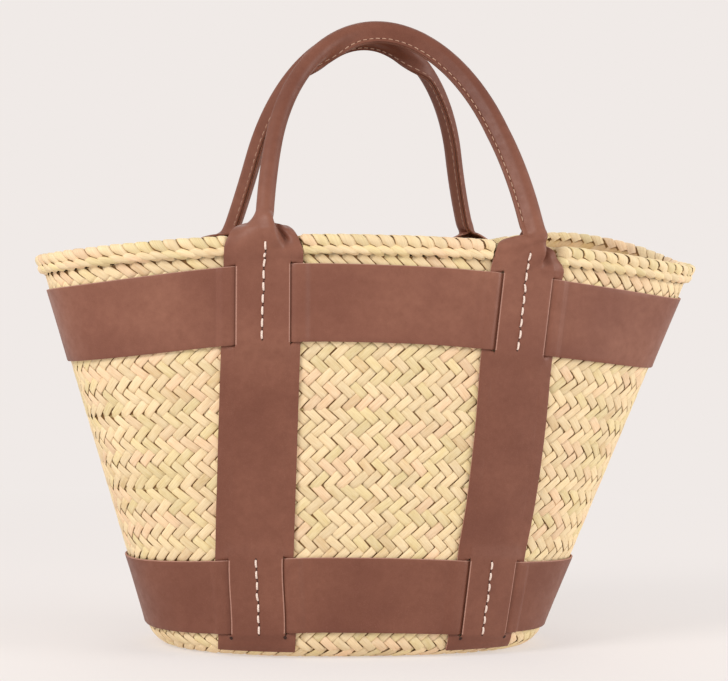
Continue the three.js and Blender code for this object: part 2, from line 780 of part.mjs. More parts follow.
for (const [name, shape] of Object.entries(handles)) {
  const frame = handleFrame(shape);
  bag.add(named(name, handleBody(frame), leatherMaterial()));
  bag.add(named(`${name}_core`, coreBody(frame), ropeMaterial()));
  bag.add(named(`${name}_seam_thread`, seamBody(frame), threadMaterial()));
}

export default bag;
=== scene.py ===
# Straw tote bag: plaited palm leaf, leather bands and straps, rolled leather handles.
# Places are worked out in millimetres, as in the solids, and become metres when a mesh is made.
import math

import bpy
import numpy as np
from mathutils import Matrix, Vector


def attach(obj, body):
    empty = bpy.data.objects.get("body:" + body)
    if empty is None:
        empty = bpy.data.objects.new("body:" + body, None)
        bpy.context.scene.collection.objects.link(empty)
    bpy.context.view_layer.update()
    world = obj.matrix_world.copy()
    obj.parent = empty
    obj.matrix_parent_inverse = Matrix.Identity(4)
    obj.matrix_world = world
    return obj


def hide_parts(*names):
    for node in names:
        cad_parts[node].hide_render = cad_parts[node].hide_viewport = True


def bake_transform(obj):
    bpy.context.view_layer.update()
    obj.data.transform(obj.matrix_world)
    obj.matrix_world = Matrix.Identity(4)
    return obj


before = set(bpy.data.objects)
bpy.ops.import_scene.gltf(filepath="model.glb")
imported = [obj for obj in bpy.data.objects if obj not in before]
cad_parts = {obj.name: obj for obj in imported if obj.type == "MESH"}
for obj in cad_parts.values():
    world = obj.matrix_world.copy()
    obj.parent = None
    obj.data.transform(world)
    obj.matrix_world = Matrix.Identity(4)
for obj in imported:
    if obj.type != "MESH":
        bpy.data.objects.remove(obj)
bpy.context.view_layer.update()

MM = 0.001
CLOSE = 0.01
QUARTER = math.pi / 2
TURN = 2 * math.pi
UPWARDS = np.array([0, 0, 1.0])

# Where the random draws start
BASE_SEED = 31
RIM_SEED = 41
STITCH_SEED = 51
SEAM_SEED = 71
COURSE_SEED = 11

# Basket, as in the solids. Only the rise of the back rim was measured again: here it is a little larger
# and reaches further round the right end. The solids have no leaves, so LEAF_PITCH is only here
MOUTH_HALF_LENGTH = 270
MOUTH_HALF_DEPTH = 102
MOUTH_SQUARENESS = 2.7
BASE_HALF_LENGTH = 156
BASE_HALF_DEPTH = 97
BASE_SQUARENESS = 2.3
BASE_SHIFT = 16
BASKET_HEIGHT = 330
END_DROOP = 20
END_DROOP_POWER = 1.6
BACK_RISE = 26.5
BACK_RISE_ANGLE = 46
BACK_RISE_SPREAD = 28
END_RISE_SPREAD = 45
CORNER_RADIUS = 14
WALL_THICKNESS = 4.5
FLOOR_THICKNESS = 5
COURSE_ROWS = (7, 6, 6, 6, 6)
WALL_FOOT = 5.3
WALL_TOP = 311.5
ROW_PITCH = (WALL_TOP - WALL_FOOT) / sum(COURSE_ROWS)
LEAF_PITCH = 10.6

# Leather, as in the solids
LEATHER = 1.8
GAP = 0.3
TOP_BAND = (239, 299)
BOTTOM_BAND = (17, 75)
STRAP_WIDTH = 60
STRAP_SPACING_AT_MOUTH = 209
STRAP_SPACING_AT_BASE = 182
STRAP_FOOT = 5.6
RIM_FACE = 4.8
BAND_ARCH = 6
BAND_ARCH_ANGLE = 100
BAND_ARCH_SPREAD = 29
ARCH_LEVELS = (5.6, 13.5, 78.5, 235.5, 302.5, 313.5)
ARCH_SHARES = (0, 0.65, 0.65, 1, 1, 0)
BAND_END_GAP = 0.5
LOW_LAYER = GAP
HIGH_LAYER = GAP + LEATHER + GAP
HINGE_LAYER = RIM_FACE + LEATHER / 2

# Handles: -1 is the front one and 1 the back one. As in the solids, except that half widths and shifts
# are a millimetre less, the seam's flange is wider and the tube's sides run straight to it
MID_RADIUS = 6.1
TUBE_RADIUS = 7
SEAM_FLANGE = 6.3
SEAM_CLOSED = math.pi - math.asin((LEATHER + GAP) / 2 / MID_RADIUS)
TAPER_TURN = math.radians(128)
TAPER_START = 0.8
LEAST_ROLL = 1e-3
HINGE_RISE = 2.5
HINGE_LEVEL = BASKET_HEIGHT + HINGE_RISE
SHOULDER_HEIGHT = 18
HANDLE_TOP = {-1: 506, 1: 503}
HANDLE_HALF_WIDTH = {-1: 102, 1: 92}
HANDLE_SHIFT = {-1: 1.7, 1: -1}
HANDLE_PARTING = 1
ARCH_START = 20
FLARE_HEIGHT = 80
FLARE_POWER = 2
ROUTE_STEPS = 1500
HEADING_STEP = 1e-4

# How the visible leather differs from the plain solids. A pair such as (-1, 1) is a face, front or back,
# and an end of the bag. Four numbers in a row, as in WAIST, are for within()
STRAP_BENDS = {(-1, -1): (-3.6, 0), (-1, 1): (0, 2.2)}
FOOT_BEND_SPAN = 60
WAIST = (78, 50, 236, 70)
TONGUE_SHIFT_LEVELS = (240, 300)
TONGUE_SHIFTS = {(-1, -1): (-2.0, -0.3)}
TONGUE_EDGE = 19.6
MARGIN_EDGE = 21.4
SLIT_MIDDLE = (TONGUE_EDGE + MARGIN_EDGE) / 2
SLIT_OVERRUN = 2.5
SLIT_LEAST = 0.04
EDGE_LINE = 0.2
EDGE_ROUNDING = 0.7
EDGE_THINNED = 0.62
TONGUE_CLIMBS = ((BOTTOM_BAND, 6, 16), (TOP_BAND, 16, BASKET_HEIGHT))
MARGIN_SLOPE = 9
MARGIN_DIP = 1.2
MARGIN_DIP_EDGE = 25
MARGIN_DIP_SPAN = 3.6
LOOSE = (84, 20, 228, 20)
LOOSE_LIFT = 0.2
LOOSE_WAVER = 0.12
WAVER_UP = 0.11
WAVER_ROUND = 0.09
CLIMB = (298, 323)
SHOULDER_LOW = 314
SHOULDER_SQUEEZE = 0.4
SQUEEZE_START = 322
SQUEEZE_SPAN = 12
SHOULDER_LEAD = 1.5
LEAD_DEPTH = 4.5
PLANE_START = 320
SHOULDER_SMOOTHING = 4
TUBE_STEP = 4

# The front handle's right leg stands out sideways, from low in its tab to some way up the handle
LEG_SWAY = {(-1, 1): 5.5}
SWAY_START = -11
SWAY_SPAN = 15
SWAY_END = 100

# Where each leg's seam starts to turn to the arch's hollow side, and over what height. While the strip
# is flat only its middle turns or sways: up to CORE_WIDTH, and less and less over CORE_FADE
SEAM_TWIST = {(-1, -1): (158, 34), (-1, 1): (-13, 17), (1, -1): (150, 36), (1, 1): (150, 36)}
CORE_WIDTH = 9
CORE_FADE = 12

# Each tab: how far its two sides have rolled up (1 is a closed tube) at which levels, then its pinched
# fold: the levels of its foot and top, and the ridge's places there to the right of the strap's middle
TABS = {
    (-1, -1): {
        "left": (
            (314, 0.03), (320, 0.06), (323, 0.15), (326, 0.22), (329, 0.35), (332, 0.47), (341, 0.74),
            (350, 1),
        ),
        "right": (
            (314, 0.05), (320, 0.22), (324, 0.28), (332, 0.34), (335, 0.39), (338, 0.47), (341, 0.62),
            (344, 1),
        ),
        "fold": (315, 343),
        "ridge": (13.5, 3.5),
    },
    (-1, 1): {
        "left": ((314, 0.15), (320, 0.18), (323, 0.22), (326, 0.31), (329, 0.6), (332, 0.94), (335, 1)),
        "right": ((314, 0.3), (320, 0.37), (323, 0.48), (329, 0.65), (332, 0.77), (336, 0.87), (342, 1)),
        "fold": (309, 334),
        "ridge": (6.2, 9.8),
    },
    (1, -1): {
        "left": ((319, 0), (331, 0.35), (335, 0.5), (337.5, 0.85), (340, 1)),
        "right": ((314, 0), (330, 0.7), (337, 1)),
        "fold": (317, 336),
        "ridge": (15, 9),
    },
    (1, 1): {
        "left": ((314, 0), (330, 0.7), (336, 1)),
        "right": ((314, 0), (326, 0.5), (332, 0.85), (337, 1)),
        "fold": (317, 336),
        "ridge": (15, 9),
    },
}
RIDGE_HEIGHT = 4.2
RIDGE_FLANKS = (-11, 11, 3, 3)
POCKET_FLANKS = (0.4, 2.8, 11, 7)
POCKET_DEPTH = {-1: 8, 1: 1.5}
FOLD_RISE = 10
FOLD_OVERRUN = 7
FOLD_FALL = 8

# Stitches
STRAP_STITCH = {"radius": 0.85, "rise": 0.55}
SEAM_STITCH = {"radius": 0.36, "rise": 0.16}
STITCH_GAP = 0.1
STITCH_SCATTER = 0.28
TOP_STITCHES = {-1: (241, 323.5), 1: (239.5, 320.5)}
BOTTOM_STITCHES = (15.5, 76)
TOP_STITCH_COUNT = 9
BOTTOM_STITCH_COUNT = 7
STITCH_ASIDE = {("top", -1): 1.3, ("bottom", -1): 2.9, ("top", 1): -2.3, ("bottom", 1): -2.3}
SEAM_PITCH = 6.5
SEAM_ENDS = (13, 16)
SEAM_GAP = 0.12
SEAM_SCATTER = 0.12
SEAM_THREAD_SHARE = 0.62
PUNCH_RADIUS = 1.3
PUNCH_DROP = 3.2
PUNCH_SIDES = 14
PUNCH_LIFT = 0.35


def mix(start, end, share):
    return start + (end - start) * share


def ease(value):
    value = np.clip(value, 0, 1)
    return value * value * (3 - 2 * value)


def within(value, start, rise, end, fall):
    """0 outside start and end and 1 well inside them, smooth over the spans rise and fall."""
    return ease((value - start) / rise) * ease((end - value) / fall)


def signed_power(value, power):
    return np.sign(value) * np.abs(value) ** power


def unit(vectors):
    return vectors / np.maximum(np.linalg.norm(vectors, axis=-1, keepdims=True), 1e-9)


def mirrored(half):
    """Places from 0 or more to an edge, with the same places on the other side of 0."""
    return np.unique(np.concatenate([-np.asarray(half), half]))


def corner_inset(level):
    """How far the floor's rounded corner draws the wall in."""
    below = np.maximum(0, CORNER_RADIUS - level)
    return CORNER_RADIUS - np.sqrt(CORNER_RADIUS**2 - below**2)


def grown_plan(theta, level, grown):
    """The wall's plan at a level, as x and y, made larger all round by grown."""
    share = level / BASKET_HEIGHT
    power = 2 / mix(BASE_SQUARENESS, MOUTH_SQUARENESS, share)
    half_length = mix(BASE_HALF_LENGTH, MOUTH_HALF_LENGTH, share) + grown
    half_depth = mix(BASE_HALF_DEPTH, MOUTH_HALF_DEPTH, share) + grown
    x = half_length * signed_power(np.cos(theta), power) - BASE_SHIFT * (1 - share)
    return x, half_depth * signed_power(np.sin(theta), power)


def wrap_degrees(theta):
    return np.degrees((theta + math.pi) % TURN - math.pi)


def rim_rise(theta):
    """How much higher or lower than its plain height the mouth stands."""
    past = wrap_degrees(theta) - BACK_RISE_ANGLE
    away = past / np.where(past < 0, END_RISE_SPREAD, BACK_RISE_SPREAD)
    return BACK_RISE * np.exp(-(away**2)) - END_DROOP * np.abs(np.cos(theta)) ** END_DROOP_POWER


def risen(theta, level):
    """The height of a level on the wall, which follows the rim more and more from the floor up."""
    share = np.maximum(0, level - FLOOR_THICKNESS) / (BASKET_HEIGHT - FLOOR_THICKNESS)
    return level + rim_rise(theta) * share


def wall_point(theta, level, offset):
    x, y = grown_plan(theta, level, offset - corner_inset(level))
    return np.stack(np.broadcast_arrays(x, y, risen(theta, level)), -1)


# Running length round the bag at many levels, so that a place can be given by its length along the wall
TABLE_LEVELS = np.concatenate([np.linspace(0, CORNER_RADIUS, 15), np.linspace(20, BASKET_HEIGHT, 32)])
ANGLE_STEPS = 6000
ROUND_STEPS = 3000


def round_tables():
    thetas = np.linspace(-QUARTER, 3 * QUARTER, ANGLE_STEPS + 1)
    turns, lengths = [], []
    for level in TABLE_LEVELS:
        x, y = grown_plan(thetas, level, -corner_inset(level))
        arc = np.concatenate([[0], np.cumsum(np.hypot(np.diff(x), np.diff(y)))])
        turns.append(np.interp(np.linspace(0, arc[-1], ROUND_STEPS + 1), arc, thetas))
        lengths.append(arc[-1])
    return np.array(turns), np.array(lengths)


THETA_TABLE, ROUND_LENGTHS = round_tables()


def round_length(level):
    return np.interp(level, TABLE_LEVELS, ROUND_LENGTHS)


def theta_at(share, level):
    """The angle at a share of the way round the wall, from the front's middle towards +X."""
    share, level = np.broadcast_arrays(np.asarray(share, float) % 1, np.asarray(level, float))
    low = np.clip(np.searchsorted(TABLE_LEVELS, level) - 1, 0, len(TABLE_LEVELS) - 2)
    up = np.clip((level - TABLE_LEVELS[low]) / (TABLE_LEVELS[low + 1] - TABLE_LEVELS[low]), 0, 1)
    place = share * ROUND_STEPS
    step = np.minimum(place.astype(int), ROUND_STEPS - 1)
    along = place - step
    under = mix(THETA_TABLE[low, step], THETA_TABLE[low, step + 1], along)
    over = mix(THETA_TABLE[low + 1, step], THETA_TABLE[low + 1, step + 1], along)
    return mix(under, over, up)


# Straps: face is -1 for the front and 1 for the back, side is the end of the bag
SITES = {
    "front_left": (-1, -1),
    "front_right": (-1, 1),
    "back_left": (1, -1),
    "back_right": (1, 1),
}


def strap_arc(level, site=None):
    """Length round the bag from a face's middle to a strap's middle. The front straps bend a little."""
    arc = mix(STRAP_SPACING_AT_BASE, STRAP_SPACING_AT_MOUTH, level / BASKET_HEIGHT) / 2
    foot, waist = STRAP_BENDS.get(site, (0, 0))
    return arc + foot * ease((BOTTOM_BAND[1] - level) / FOOT_BEND_SPAN) + waist * within(level, *WAIST)


def tongue_shift(level, site):
    """How far a tongue stands beside its strap's middle, positive away from the middle of its face."""
    return np.interp(level, TONGUE_SHIFT_LEVELS, TONGUE_SHIFTS.get(site, (0, 0)))


def site_theta(site, distance, level):
    """The angle at a distance from a strap's middle, positive away from the middle of its face."""
    face, side = site
    arc = side * (strap_arc(level, site) + distance)
    share = arc / round_length(level)
    return theta_at(share if face < 0 else 0.5 - share, level)


# Meshes


def grid_faces(columns, rows, closed=False):
    """Four-sided faces over a grid of points numbered row by row."""
    column = np.arange(columns if closed else columns - 1)
    row = np.arange(rows - 1)[:, None]
    near = row * columns + column
    beside = row * columns + (column + 1) % columns
    corners = [near, beside, beside + columns, near + columns]
    return np.stack(np.broadcast_arrays(*corners), -1).reshape(-1, 4)


def repeated_faces(faces, count, points_each):
    """The faces of one leaf for many leaves, whose points come one leaf after another."""
    return (faces[None] + (np.arange(count) * points_each)[:, None, None]).reshape(-1, 4)


def piece(name, points, faces, materials, face_slots=None):
    """A smooth-shaded mesh object from points in millimetres and a list of faces."""
    mesh = bpy.data.meshes.new(name)
    mesh.from_pydata((np.asarray(points) * MM).tolist(), [], faces)
    for material in materials:
        mesh.materials.append(material)
    if face_slots is not None:
        mesh.polygons.foreach_set("material_index", np.asarray(face_slots, np.int32))
    mesh.shade_smooth()
    mesh.update()
    return placed(bpy.data.objects.new(name, mesh))


def placed(made):
    bpy.context.collection.objects.link(made)
    return made


def add_attribute(made, name, kind, field, values):
    attribute = made.data.attributes.new(name, kind, "POINT")
    attribute.data.foreach_set(field, np.asarray(values, np.float32).ravel())


# Materials

WHITE = (1, 1, 1, 1)


def linear(red, green, blue):
    """A colour as it is seen, 0 to 255, as the light values that a shader takes."""
    seen = np.array([red, green, blue]) / 255
    return tuple(np.where(seen <= 0.04045, seen / 12.92, ((seen + 0.055) / 1.055) ** 2.4)) + (1.0,)


class Nodes:
    """A small helper for building the nodes of a material, or of the world."""

    def __init__(self, name, world=False):
        self.owner = (bpy.data.worlds if world else bpy.data.materials).new(name)
        self.owner.use_nodes = True
        self.tree = self.owner.node_tree
        self.tree.nodes.clear()
        self.output = self.add("ShaderNodeOutputWorld" if world else "ShaderNodeOutputMaterial")

    def connect(self, socket, value):
        """Links a socket to another one, or gives it a plain value."""
        if isinstance(value, bpy.types.NodeSocket):
            self.tree.links.new(value, socket)
        else:
            socket.default_value = value

    def add(self, kind, settings=None, **inputs):
        node = self.tree.nodes.new(kind)
        for name, value in (settings or {}).items():
            setattr(node, name, value)
        for name, value in inputs.items():
            self.connect(node.inputs[name.replace("_", " ")], value)
        return node

    def where(self):
        return self.add("ShaderNodeTexCoord").outputs["Object"]

    def attribute(self, name, output):
        return self.add("ShaderNodeAttribute", {"attribute_name": name}).outputs[output]

    def noise(self, vector, scale, detail=3.0, roughness=0.5):
        made = self.add("ShaderNodeTexNoise", Vector=vector, Scale=scale, Detail=detail, Roughness=roughness)
        return made.outputs["Fac"]

    def stretched_noise(self, vector, stretch, detail, roughness=0.5):
        stretched = self.add("ShaderNodeMapping", Vector=vector, Scale=stretch).outputs["Vector"]
        return self.noise(stretched, 1.0, detail, roughness)

    def ramp(self, value, low, high, start=0.0, end=1.0):
        made = self.add("ShaderNodeMapRange", {"clamp": True}, Value=value)
        for name, number in (("From Min", low), ("From Max", high), ("To Min", start), ("To Max", end)):
            made.inputs[name].default_value = number
        return made.outputs["Result"]

    def blend(self, share, first, second, kind="MIX"):
        made = self.add("ShaderNodeMix", {"data_type": "RGBA", "blend_type": kind})
        for index, value in ((0, share), (6, first), (7, second)):
            self.connect(made.inputs[index], value)
        return made.outputs[2]

    def bump(self, height, strength, distance, normal=None):
        made = self.add("ShaderNodeBump", Height=height, Strength=strength, Distance=distance)
        if normal is not None:
            self.connect(made.inputs["Normal"], normal)
        return made.outputs["Normal"]

    def show(self, shader):
        self.connect(self.output.inputs["Surface"], shader.outputs[0])
        return self.owner

    def show_either(self, share, first, second):
        both = self.add("ShaderNodeMixShader", Fac=share)
        self.connect(both.inputs[1], first.outputs[0])
        self.connect(both.inputs[2], second.outputs[0])
        return self.show(both)

    def finish(self, **inputs):
        return self.show(self.add("ShaderNodeBsdfPrincipled", **inputs))


def leaf_material():
    """Dried palm leaf: each leaf's own tint, fine fibres along it and a soft sheen."""
    nodes = Nodes("palm_leaf")
    tint = nodes.attribute("leaf_tint", "Color")
    place = nodes.attribute("leaf_place", "Vector")
    fibres = nodes.stretched_noise(place, (2.6, 0.09, 1.0), 4.0, 0.6)
    blotches = nodes.stretched_noise(place, (0.35, 0.12, 1.0), 2.0)
    dark = nodes.blend(nodes.ramp(fibres, 0.3, 0.62), linear(206, 176, 128), WHITE)
    fibrous = nodes.blend(0.42, tint, nodes.blend(1.0, tint, dark, "MULTIPLY"))
    colour = nodes.blend(nodes.ramp(blotches, 0.35, 0.7, 0.0, 0.22), fibrous, linear(252, 236, 205))
    rough = nodes.ramp(fibres, 0.2, 0.8, 0.68, 0.5)
    normal = nodes.bump(fibres, 0.35, 0.00025)
    return nodes.finish(Base_Color=colour, Roughness=rough, Normal=normal, Specular_IOR_Level=0.35)


# Painted shade: the leather is darker low on the bag, where less light falls on it from above, and darker up
# the handles: from the first height to the second, in metres, its share goes from the third number to the
# fourth
SHADE_AND_HANDLE_TINT = (0.68, 0.58, 0.54, 1.0)
PAINTED_SHADE_LOW = (0.2, 0.25, 0.62, 0.0)
DARKER_UP_HANDLES = (0.33, 0.42, 0.0, 0.85)


def leather_material():
    """Matt brown leather: clouded colour, fine grain, faint pores, painted shade low on the bag and a darker
    tint up the handles.
    """
    nodes = Nodes("brown_leather")
    where = nodes.where()
    clouds = nodes.noise(where, 16.0, 4.0, 0.55)
    mottle = nodes.noise(where, 130.0, 5.0, 0.65)
    grain = nodes.add("ShaderNodeTexVoronoi", {"feature": "F1"}, Vector=where, Scale=1500.0)
    pores = nodes.noise(where, 2600.0, 2.0, 0.5)
    cloudy = nodes.blend(nodes.ramp(clouds, 0.35, 0.68), linear(128, 80, 64), linear(148, 98, 79))
    mottled = nodes.blend(nodes.ramp(mottle, 0.3, 0.75, 0.0, 0.5), cloudy, linear(115, 68, 51))
    # Painted shade low on the bag, and a darker tint up the handles, set by height
    level = nodes.add("ShaderNodeSeparateXYZ", Vector=where).outputs["Z"]
    below = nodes.blend(nodes.ramp(level, *PAINTED_SHADE_LOW), WHITE, SHADE_AND_HANDLE_TINT)
    above = nodes.blend(nodes.ramp(level, *DARKER_UP_HANDLES), WHITE, SHADE_AND_HANDLE_TINT)
    darkened = nodes.blend(1.0, mottled, nodes.blend(1.0, below, above, "MULTIPLY"), "MULTIPLY")
    colour = nodes.blend(nodes.ramp(pores, 0.52, 0.75, 0.0, 0.3), darkened, linear(164, 116, 97))
    rough = nodes.ramp(mottle, 0.3, 0.7, 0.42, 0.56)
    normal = nodes.bump(grain.outputs["Distance"], 0.16, 0.0003, nodes.bump(mottle, 0.12, 0.0006))
    return nodes.finish(Base_Color=colour, Roughness=rough, Normal=normal, Specular_IOR_Level=0.26)


def speckled_material(name, scale, detail, dark, pale, roughness):
    """A plain surface in specks of two tones."""
    nodes = Nodes(name)
    colour = nodes.blend(nodes.noise(nodes.where(), scale, detail), linear(*dark), linear(*pale))
    return nodes.finish(Base_Color=colour, Roughness=roughness)


def shadow_backing_material():
    """Painted shade: a dark layer behind the plait, seen only in the joints between leaves, where shade
    falls.
    """
    return speckled_material("plait_shadow", 300.0, 3.0, (96, 62, 30), (168, 126, 74), 0.9)


def seam_thread_material():
    """The handles' seam thread, rubbed darker than the stitches on the straps."""
    return speckled_material("seam_thread", 120.0, 3.0, (168, 122, 96), (220, 186, 162), 0.65)


# Painted shade: the dark inside of a needle hole or punched hole, as a flat disc
def hole_shade_material():
    return speckled_material("needle_hole_shade", 500.0, 2.0, (38, 20, 14), (70, 40, 30), 0.9)


def napped_material(name, scale, detail, dark, pale, roughness, relief):
    """A rough leather surface. Its relief is a strength and a depth in metres."""
    nodes = Nodes(name)
    nap = nodes.noise(nodes.where(), scale, detail, 0.7)
    colour = nodes.blend(nodes.ramp(nap, 0.3, 0.7), linear(*dark), linear(*pale))
    return nodes.finish(Base_Color=colour, Roughness=roughness, Normal=nodes.bump(nap, *relief))


def cut_edge_material():
    """The leather's raw cut edge, paler and rougher than its face."""
    tones = (156, 110, 94), (184, 138, 120)
    return napped_material("leather_cut_edge", 900.0, 4.0, *tones, 0.8, (0.5, 0.0003))


def flesh_side_material():
    """The leather's suede underside, seen inside the bag's folds and along the handles' seams."""
    tones = (120, 78, 62), (150, 104, 86)
    return napped_material("leather_flesh_side", 700.0, 5.0, *tones, 0.95, (0.4, 0.0004))


def twisted_material(name, scale, distortion, dark, pale, roughness, relief):
    """Strands twisted together: slanting bands of two tones. Its relief is a strength and a depth."""
    nodes = Nodes(name)
    diagonal = {"bands_direction": "DIAGONAL"}
    wave = nodes.add("ShaderNodeTexWave", diagonal, Vector=nodes.where(), Scale=scale, Distortion=distortion)
    bands = wave.outputs["Fac"]
    colour = nodes.blend(bands, linear(*dark), linear(*pale))
    return nodes.finish(Base_Color=colour, Roughness=roughness, Normal=nodes.bump(bands, *relief))


def twine_material():
    return twisted_material("palm_twine", 260.0, 2.0, (166, 138, 88), (214, 190, 138), 0.85, (0.6, 0.0004))


def thread_material():
    return twisted_material("cream_thread", 420.0, 1.0, (226, 200, 184), (250, 230, 216), 0.6, (0.5, 0.0003))


def rope_material():
    return twisted_material("rope", 90.0, 1.5, (150, 124, 84), (196, 172, 128), 0.9, (0.7, 0.0008))


LEAF = leaf_material()
# Painted shade for the joints between leaves
SHADOW_BACKING = shadow_backing_material()
TWINE = twine_material()
HIDE = leather_material()
CUT_EDGE = cut_edge_material()
FLESH = flesh_side_material()
THREAD = thread_material()
SEAM_THREAD = seam_thread_material()
HOLE_SHADE = hole_shade_material()
ROPE = rope_material()

# Palm leaf plait

STRAW = np.array(linear(247, 222, 177)[:3])
GREEN_STRAW = np.array(linear(239, 218, 165)[:3])
PINK_STRAW = np.array(linear(247, 213, 173)[:3])
TAN_STRAW = np.array(linear(230, 197, 149)[:3])
# Leaves' long edges: partly their own browner colour, partly painted shade where neighbouring leaves meet
EDGE_BROWN_AND_SHADE = np.array([0.74, 0.6, 0.46])
# Painted shade: darker tints for the leaves in the shadow inside the bag
INSIDE_SHADE = np.array([0.78, 0.66, 0.55])
BROWN_AND_SHADE_EDGE = 0.12

# Runs of leaves that share a tint, and how much single leaves differ
TINT_WAVES = 4
FEWEST_TURNS = 2
SHORTEST_RUN = 4
PHASES = (0, 9)
WAVE_STRENGTH = 0.35
TINT_SCATTER = 0.42
TINT_START = 0.3
PINK_START = 0.4
TINT_SPAN = 0.4
TAN_LEAVES = 0.05
TAN_SHARE = 0.6
BRIGHTNESS = (0.88, 1.04)

LEAF_LEAN = math.atan2(ROW_PITCH, LEAF_PITCH)
LEAF_HALF_LENGTH = math.hypot(LEAF_PITCH, ROW_PITCH) / 2
LEAF_HALF_WIDTH = LEAF_PITCH * math.sin(LEAF_LEAN) / 2
LEAF_CLEARANCE = 0.97
ROW_OFFSET = 0.25

# A leaf's shape. Places along it are in half lengths and across it in half widths
LEAF_REACH = 1.34
LEAF_CROWN = 0.16
DIVE_START = 0.76
DIVE_SPAN = 0.32
TAIL_DEPTH = 0.6
CURL_START = 0.84
CURL_DEPTH = 0.42
LEAF_SINK = 0.22
TILT_SCATTER = 0.09
PITCH_SCATTER = 0.08
LEAN_SCATTER = 0.03
PLACE_SCATTER = 0.18
LEAF_LENGTHS = (0.97, 1.03)
LEAF_WIDTHS = (0.93, 1.0)
LEAF_LIFTS = (-0.12, 0.1)

# Each leaf's mark sets its place in the fibres' noise, so that no two leaves look alike
LEAF_MARKS = (0, 400)
MARK_STEP = 3

COURSE_BACKING = (1.7, 2.6)
COURSE_BACKING_RINGS = 9
COURSE_BACKING_SIDES = 240


def leaf_grid(along_steps, across_steps):
    """Places along and across a leaf, point by point, and the faces between them."""
    along, across = (grid.ravel() for grid in np.meshgrid(along_steps, across_steps, indexing="ij"))
    return along, across, grid_faces(len(across_steps), len(along_steps))


def leaf_shape(along_half, across_half):
    """One leaf's float: its places along and across, its depth below the outer face, and its faces."""
    along, across, faces = leaf_grid(mirrored(along_half), mirrored(across_half))
    past = np.maximum(0, np.abs(along) - 1) / (LEAF_REACH - 1)
    depth = ease((np.abs(along) - DIVE_START) / DIVE_SPAN) + TAIL_DEPTH * past + LEAF_CROWN * across**2
    depth = depth + CURL_DEPTH * ease((np.abs(across) - CURL_START) / (1 - CURL_START))
    return along, across, depth, faces


FINE_LEAF = leaf_shape([0.3, 0.76, 0.92, 1.06, LEAF_REACH], [0, 0.5, 0.89, 1])
PLAIN_LEAF = leaf_shape([0, 0.6, 1, 1.3], [0, 0.8, 1])


def leaf_tints(random, counts, across):
    """Tints at the points of rows of leaves: short runs share a tint, each leaf varies a little, and it is
    browner along its two long edges, partly the leaf's own colour and partly painted shade between leaves."""
    tints = []
    for count in counts:
        choice = np.zeros(count)
        for _ in range(TINT_WAVES):
            turns = random.integers(FEWEST_TURNS, count // SHORTEST_RUN)
            choice += np.sin(np.arange(count) * TURN * turns / count + random.uniform(*PHASES))
        choice = choice * WAVE_STRENGTH + random.normal(0, TINT_SCATTER, count)
        green = ease((choice - TINT_START) / TINT_SPAN)[:, None]
        pink = ease((-PINK_START - choice) / TINT_SPAN)[:, None]
        tint = mix(mix(STRAW, GREEN_STRAW, green), PINK_STRAW, pink)
        tan = (random.random(count) < TAN_LEAVES)[:, None] * TAN_SHARE
        tints.append(mix(tint, TAN_STRAW, tan) * random.uniform(*BRIGHTNESS, count)[:, None])
    # Browner long edges: partly the leaf's own colour, partly painted shade between leaves
    edge = mix(1, EDGE_BROWN_AND_SHADE, ease((np.abs(across) - (1 - BROWN_AND_SHADE_EDGE)) / BROWN_AND_SHADE_EDGE)[:, None])
    return (np.concatenate(tints)[:, None] * edge).reshape(-1, 3)


def lay_leaves(random, rows, tint_counts, shape, surface):
    """Rows of leaves laid on a surface. Each row has its leaves' middles as [round, up] and their slopes
    from the round direction, and surface() gives points for round, up and outward places."""
    along, across, depth, faces = shape
    centres, slopes = (np.concatenate(list(group)) for group in zip(*rows))
    count = len(centres)
    slopes = slopes + random.normal(0, LEAN_SCATTER, count)
    half_length = LEAF_HALF_LENGTH * random.uniform(*LEAF_LENGTHS, count)
    half_width = LEAF_HALF_WIDTH * LEAF_CLEARANCE * random.uniform(*LEAF_WIDTHS, count)
    centres = centres + random.normal(0, PLACE_SCATTER, centres.shape)
    direction = np.stack([np.cos(slopes), np.sin(slopes)], -1)
    sideways = np.stack([-direction[:, 1], direction[:, 0]], -1)
    long = along * half_length[:, None]
    wide = across * half_width[:, None]
    places = centres[:, None] + long[..., None] * direction[:, None] + wide[..., None] * sideways[:, None]
    tilt = random.normal(0, TILT_SCATTER, (count, 1)) * across
    tilt = tilt + random.normal(0, PITCH_SCATTER, (count, 1)) * along
    lift = random.uniform(*LEAF_LIFTS, (count, 1))
    points = surface(places[..., 0], places[..., 1], tilt + lift - depth - LEAF_SINK).reshape(-1, 3)
    marks = random.uniform(*LEAF_MARKS, (count, 1)) + 0 * long
    leaf_place = np.stack([wide + marks * MARK_STEP, long, marks], -1).reshape(-1, 3)
    tints = leaf_tints(random, tint_counts, across)
    return points, repeated_faces(faces, count, len(along)), leaf_place, tints


def leaf_piece(name, leaves, shade_backing):
    """Joins laid leaves, each (points, faces, places, tints), with the dark backing of painted shade behind
    them.
    """
    parts = leaves + [(points, faces, 0 * points, 0 * points + 1) for points, faces in shade_backing]
    starts = np.cumsum([0] + [len(part[0]) for part in parts])
    faces = [part[1] + start for part, start in zip(parts, starts)]
    slots = [np.full(len(part[1]), index >= len(leaves)) for index, part in enumerate(parts)]
    points, _, places, tints = (np.concatenate(list(group)) for group in zip(*parts))
    made = piece(name, points, np.concatenate(faces).tolist(), [LEAF, SHADOW_BACKING], np.concatenate(slots))
    add_attribute(made, "leaf_tint", "FLOAT_COLOR", "color", np.column_stack([tints, np.ones(len(tints))]))
    add_attribute(made, "leaf_place", "FLOAT_VECTOR", "vector", places)
    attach(made, "basket")
    return made


